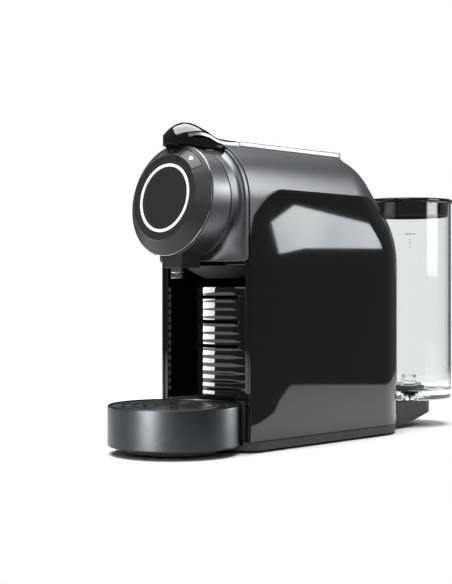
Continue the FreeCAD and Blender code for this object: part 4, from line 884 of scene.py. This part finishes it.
# the grip's section sinks towards both sides, more at the tip than where it meets the bar
def domed(bm):
    for x in range(-18, 19, 2):
        bmesh.ops.bisect_plane(bm, geom=bm.verts[:] + bm.edges[:] + bm.faces[:], plane_co=(x, 0, 0),
            plane_no=(1, 0, 0))
    for v in bm.verts:
        along = min(1.0, max(0.0, (barFront - v.co.y) / 36))
        atTip = min(1.0, max(0.0, (-14 - v.co.y) / 24))
        v.co.z -= (0.0085 + 0.0105 * along * along * (3 - 2 * along) + 0.016 * atTip) * v.co.x ** 2
    return bm


ends = (0, 8, 9, 16)     # where the outlines turn sharply
capForm = newCurved(grip["outer"] + grip["cap"][::-1], grip["reach"], (0, 8, 9, 17))
makePiece(domed(cut(capForm, gripPlan(grip["half"]), "INTERSECT")), "gripTop", "gloss_black", ("lever_grip",),
    "lever", edge=0.3, segments=3)
rimForm = newCurved(grip["cap"] + grip["inner"], grip["reach"], ends)
rimForm = cut(cut(rimForm, gripPlan(grip["rimHalf"]), "INTERSECT"), gripPlan(grip["rimHollow"]))
lip = cut(rimForm.copy(), newBlock(-40, 40, -60, grip["lipY"], 200, 300), "INTERSECT")
makePiece(domed(lip), "gripLip", "gloss_black", (), "lever", edge=0.3, segments=3)
rimForm = cut(rimForm, newBlock(-40, 40, -60, grip["lipY"], 200, 300))
makePiece(domed(rimForm), "gripRim", "silver_lever", (), "lever", edge=0.35, segments=3)
coreForm = newCurved(grip["cap"] + grip["core"], grip["reach"], ends)
coreForm = cut(coreForm, gripPlan(grip["coreHalf"]), "INTERSECT")
makePiece(domed(coreForm), "gripUnder", "gloss_black", (), "lever", edge=0.2)
# a gloss-black block under the lever closes the port over the barrel: partly a capsule guide, partly a dark
# stand-in for the shadow inside the port
shadeGuide = cut(gripPlan(grip["guideHalf"], 244.0, 258.0), newBlock(-60, 60, barFront - 1, 90, 200, 300))
shadeGuide = cut(shadeGuide, newRod(head["collarRadius"] + 0.4, (0, -4, crownZ), (0, 60, crownZ), 128))
shadeGuide = cut(shadeGuide, newRod(headR + 1.2, (0, -80, crownZ), (0, 60, crownZ), 128))
makePiece(shadeGuide, "portGuide", "satin_black", (), "lever", edge=0.5, finish="glossBlack")
print("lever done")

# water tank, fill marks and lid
tank = {"radius": 44.0, "axisY": 286.0, "lowZ": 26.0, "topZ": 219.0, "wall": 2.2, "floor": 9.0, "valveY": 290.0}
tankR, tankY, tankLow, tankTop = tank["radius"], tank["axisY"], tank["lowZ"], tank["topZ"]
tankIn = tankR - tank["wall"]
tankFloor = tankLow + tank["floor"]
tankForm = newTurned([(0, tankLow), (tankR - 1.5, tankLow), (tankR - 0.4, tankLow + 0.4),
    (tankR, tankLow + 1.5), (tankR, tankTop - 0.5), (tankR - 0.5, tankTop), (tankIn + 0.4, tankTop),
    (tankIn, tankTop - 0.4), (tankIn, tankFloor + 3), (tankIn - 0.9, tankFloor + 0.9), (tankIn - 3, tankFloor),
    (0, tankFloor)], (0, tankY, 0), steps=160)
tankForm = cut(tankForm, newRod(5.6, (0, tank["valveY"], 20), (0, tank["valveY"], 32), 48))
tankForm = cut(tankForm, newRod(8.0, (0, tank["valveY"], 31), (0, tank["valveY"], 60), 48))
makePiece(tankForm, "waterTank", "clear_tank", ("water_tank",), "tank", edge=0)
valveBlock = newTurned([(8.2, 35.2), (15.0, 35.2), (15.6, 35.8), (15.6, 37.4), (15.0, 38.0), (8.2, 38.0)],
    (0, tank["valveY"], 0), steps=64)
makePiece(valveBlock, "valveCollar", "dark_plastic", (), "tank", edge=0.2, finish="pumpBody")


def fillMark(low, high, z, steps, begin, sweep):
    inner, outer = tankR - 0.05, tankR + 0.12
    return newTurned([(inner, low), (outer, low), (outer, high), (inner, high)], (0, tankY, z), steps=steps,
        begin=begin, sweep=sweep)


fillLine = fillMark(187.2, 188.0, 0, 12, -56, 14)
for tick in range(3):
    fillLine = join(fillLine, fillMark(0, 0.9, 181.5 - 3.4 * tick, 3, -50.4, 1.6))
makePiece(fillLine, "fillLine", "dark_plastic", (), "tank", edge=0, finish="iconDim")
lid = {"topZ": 223.0, "radius": 45.4, "skirt": 13.0, "gap": 0.35}
lidTop, lidR = lid["topZ"], lid["radius"]
skirtR = tankIn - lid["gap"]
skirtLow = tankTop - lid["skirt"]
lidForm = newTurned([(0, lidTop - 0.6), (38, lidTop - 0.6), (39, lidTop), (lidR - 1.2, lidTop),
    (lidR - 0.3, lidTop - 0.4), (lidR, lidTop - 1.2), (lidR, lidTop - 2.6), (lidR - 0.3, lidTop - 3.3),
    (lidR - 0.9, lidTop - 3.65), (skirtR, lidTop - 3.65), (skirtR - 0.6, skirtLow + 0.3),
    (skirtR - 0.9, skirtLow), (skirtR - 2.3, skirtLow), (skirtR - 2.6, skirtLow + 0.3),
    (skirtR - 2.6, lidTop - 2.4), (0, lidTop - 2.4)], (0, tankY, 0), steps=160)
makePiece(lidForm, "tankLid", "gloss_black", ("tank_lid",), "lid", edge=0.15)
softened("tank_bracket", "tankBracket", "dark_plastic", edge=0.8, segments=3)
softened("inlet_coupling", "inletCoupling", "dark_plastic")
softened("tank_valve", "tankValve", "dark_plastic", "valve", finish="clearValve")
softened("valve_cage", "valveCage", "dark_plastic", "tank", finish="clearValve")
print("tank done")

# these keep their CAD shape with softer edges
softened("mains_inlet", "mainsInlet", "dark_plastic", edge=0.4)
softened("switch_housing", "switchHousing", "dark_plastic", edge=0.4)
softened("power_rocker", "powerRocker", "gloss_black", "rocker", edge=0.5, segments=3)
softened("lever_arms", "leverArms", "steel", "lever", edge=0.3)
softened("inner_frame", "innerFrame", "inner_plastic", edge=0.4)
softened("pump", "pumpBody", "pump_body", edge=0.6)
softened("heater_block", "heaterBlock", "heater_metal", edge=0.8)
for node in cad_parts.values():
    for holder in node.material_slots:
        label = finishOf(holder.material.name.split(".")[0]) if holder.material else ""
        if label in materials:
            holder.material = materials[label]
print("inside done")

# floor and lights
stage = {"outline": [(-1.3, -1.3), (0.19, -1.3), (0.19, 0.0), (0.198, 0.039), (0.217, 0.073), (0.270, 0.151),
    (0.372, 0.276), (0.509, 0.452), (0.512, 0.470), (0.497, 0.493), (-0.75, 1.695), (-1.6, 1.2)],
    "away": (-0.694, 0.72, 0), "fade": (0.85, 0.22)}
tree, shader = newMaterial("paleFloor")
setPlain(shader, {"Roughness": 0.7})
tree.links.new(addMix(tree, addNoise(tree, 6.0, 2.0), (0.88, 0.88, 0.88), (0.9, 0.9, 0.9)),
    shader.inputs["Base Color"])
depth = tree.nodes.new("ShaderNodeVectorMath")
depth.operation = "DOT_PRODUCT"
depth.inputs[1].default_value = stage["away"]
tree.links.new(tree.nodes.new("ShaderNodeTexCoord").outputs["Object"], depth.inputs[0])
tree.links.new(addRange(tree, depth.outputs["Value"], *stage["fade"]), shader.inputs["Alpha"])


def makeSheet(name, corners, material):
    form = bmesh.new()
    form.faces.new([form.verts.new(corner) for corner in corners])
    mesh = toMesh(form, name)
    mesh.materials.append(materials[material])
    return addObject(name, mesh)


# the light reaches only the named pieces
def shineOn(light, names):
    group = bpy.data.collections.new(light.name)
    for name in names:
        group.objects.link(pieces[name])
    light.light_linking.receiver_collection = group


floor = makeSheet("floor", [(x, y, 0) for x, y in stage["outline"]], "paleFloor")

# the window-shaped card the glossy side looks into: seven corners standing in one upright plane
card = {"x": 0.7484, "corners": [(0.680, 0.245), (0.738, 0.276), (0.944, 0.252), (0.968, 0.238), (0.983, 0.209),
    (0.764, 0.204), (0.700, 0.193)], "glow": 9.0}
tree, shader = newMaterial("cardLight")
setPlain(shader, {"Base Color": (0, 0, 0, 1), "Emission Strength": card["glow"]})
tree.links.new(addMix(tree, addRange(tree, addNoise(tree, 9.0, 1.0), 0.3, 0.7), (0.74, 0.77, 0.80), (1, 1, 1)),
    shader.inputs["Emission Color"])
sideCard = makeSheet("sideCard", [(card["x"], y, z) for y, z in card["corners"]], "cardLight")
shineOn(sideCard, ["sidePanelNear", "sidePanelFar"])

world = bpy.data.worlds.new("studio")
scene.world = world
world.use_nodes = True
tree = world.node_tree
seen = tree.nodes.new("ShaderNodeLightPath")
white = tree.nodes.new("ShaderNodeBackground")
setPlain(white, {"Color": (1, 1, 1, 1), "Strength": 1.0})
dim = tree.nodes["Background"]
setPlain(dim, {"Color": (0.97, 0.98, 1, 1), "Strength": 0.16})
choose = tree.nodes.new("ShaderNodeMixShader")
# clear pieces show the white backdrop, but what they mirror is the dim room
unmirrored = addMath(tree, "SUBTRACT", 1.0, seen.outputs["Glossy Depth"], True)
direct = addMath(tree, "MAXIMUM", seen.outputs["Is Camera Ray"], addMath(tree, "MULTIPLY",
    seen.outputs["Is Transmission Ray"], unmirrored))
tree.links.new(direct, choose.inputs["Fac"])
tree.links.new(dim.outputs["Background"], choose.inputs[1])
tree.links.new(white.outputs["Background"], choose.inputs[2])
tree.links.new(choose.outputs["Shader"], tree.nodes["World Output"].inputs["Surface"])

# each softbox: where it stands, what it looks at, its two sides, its watts, and the pieces it is kept to, if any
softboxes = {
    "overhead": ((-0.1, -0.1, 1.9), (0, 0, 0), (2.0, 2.0), 92, []),
    "front": ((0.9, -1.5, 1.0), (0, 0, 0.12), (0.9, 0.9), 7, []),
    "shellSide": ((0.87, 0.57, 0.79), (0.0, -0.05, 0.22), (0.75, 0.75), 12.5, ["bodyShell", "headCollar"]),
    "headSide": ((0.3, 1.15, 0.62), (0.0, -0.15, 0.22), (1.3, 0.36), 36, ["headBarrel"]),
    "tankSide": ((1.25, 0.55, 0.34), (0, 0.165, 0.18), (0.75, 0.36), 5.5, ["tankLid", "waterTank"]),
    "leverSide": ((0.9, 0.9, 0.42), (0, 0, 0.26), (1.5, 0.42), 3.4, ["leverBar", "gripRim"]),
    "leverBack": ((-0.9, 1.0, 0.5), (0, 0, 0.26), (1.2, 0.7), 9, ["leverBar", "gripRim", "gripTop"]),
    "leftWall": ((-0.95, -0.6, 0.25), (0, -0.07, 0.12), (1.15, 0.7), 34, ["capsuleBin"]),
    "trayFront": ((0.06, -1.1, 0.13), (0, -0.15, 0.02), (0.34, 0.26), 20, ["dripTray"]),
    "trayRear": ((0.5, 1.0, 0.13), (0.05, -0.15, 0.02), (0.4, 0.26), 12, ["dripTray"]),
}
for lightName, (at, to, size, watts, only) in softboxes.items():
    data = bpy.data.lights.new(lightName, "AREA")
    data.shape = "RECTANGLE"
    data.size, data.size_y = size
    data.energy = watts
    light = addObject(lightName, data)
    light.location = at
    light.rotation_euler = (Vector(to) - Vector(at)).to_track_quat("-Z", "Y").to_euler()
    if only:
        shineOn(light, only)

shot = {"at": (0.7484, -0.8714, 0.134), "turn": 0.767, "lens": 77.9, "shiftY": -0.0045}
cameraData = bpy.data.cameras.new("shot")
cameraData.lens = shot["lens"]
cameraData.sensor_width = 36
cameraData.shift_y = shot["shiftY"]
cameraData.clip_start = 0.05
camera = addObject("shot", cameraData)
camera.location = shot["at"]
camera.rotation_euler = (math.pi / 2, 0, shot["turn"])
scene.camera = camera
scene.view_settings.view_transform = "Standard"

bpy.context.view_layer.update()
print("stage done")
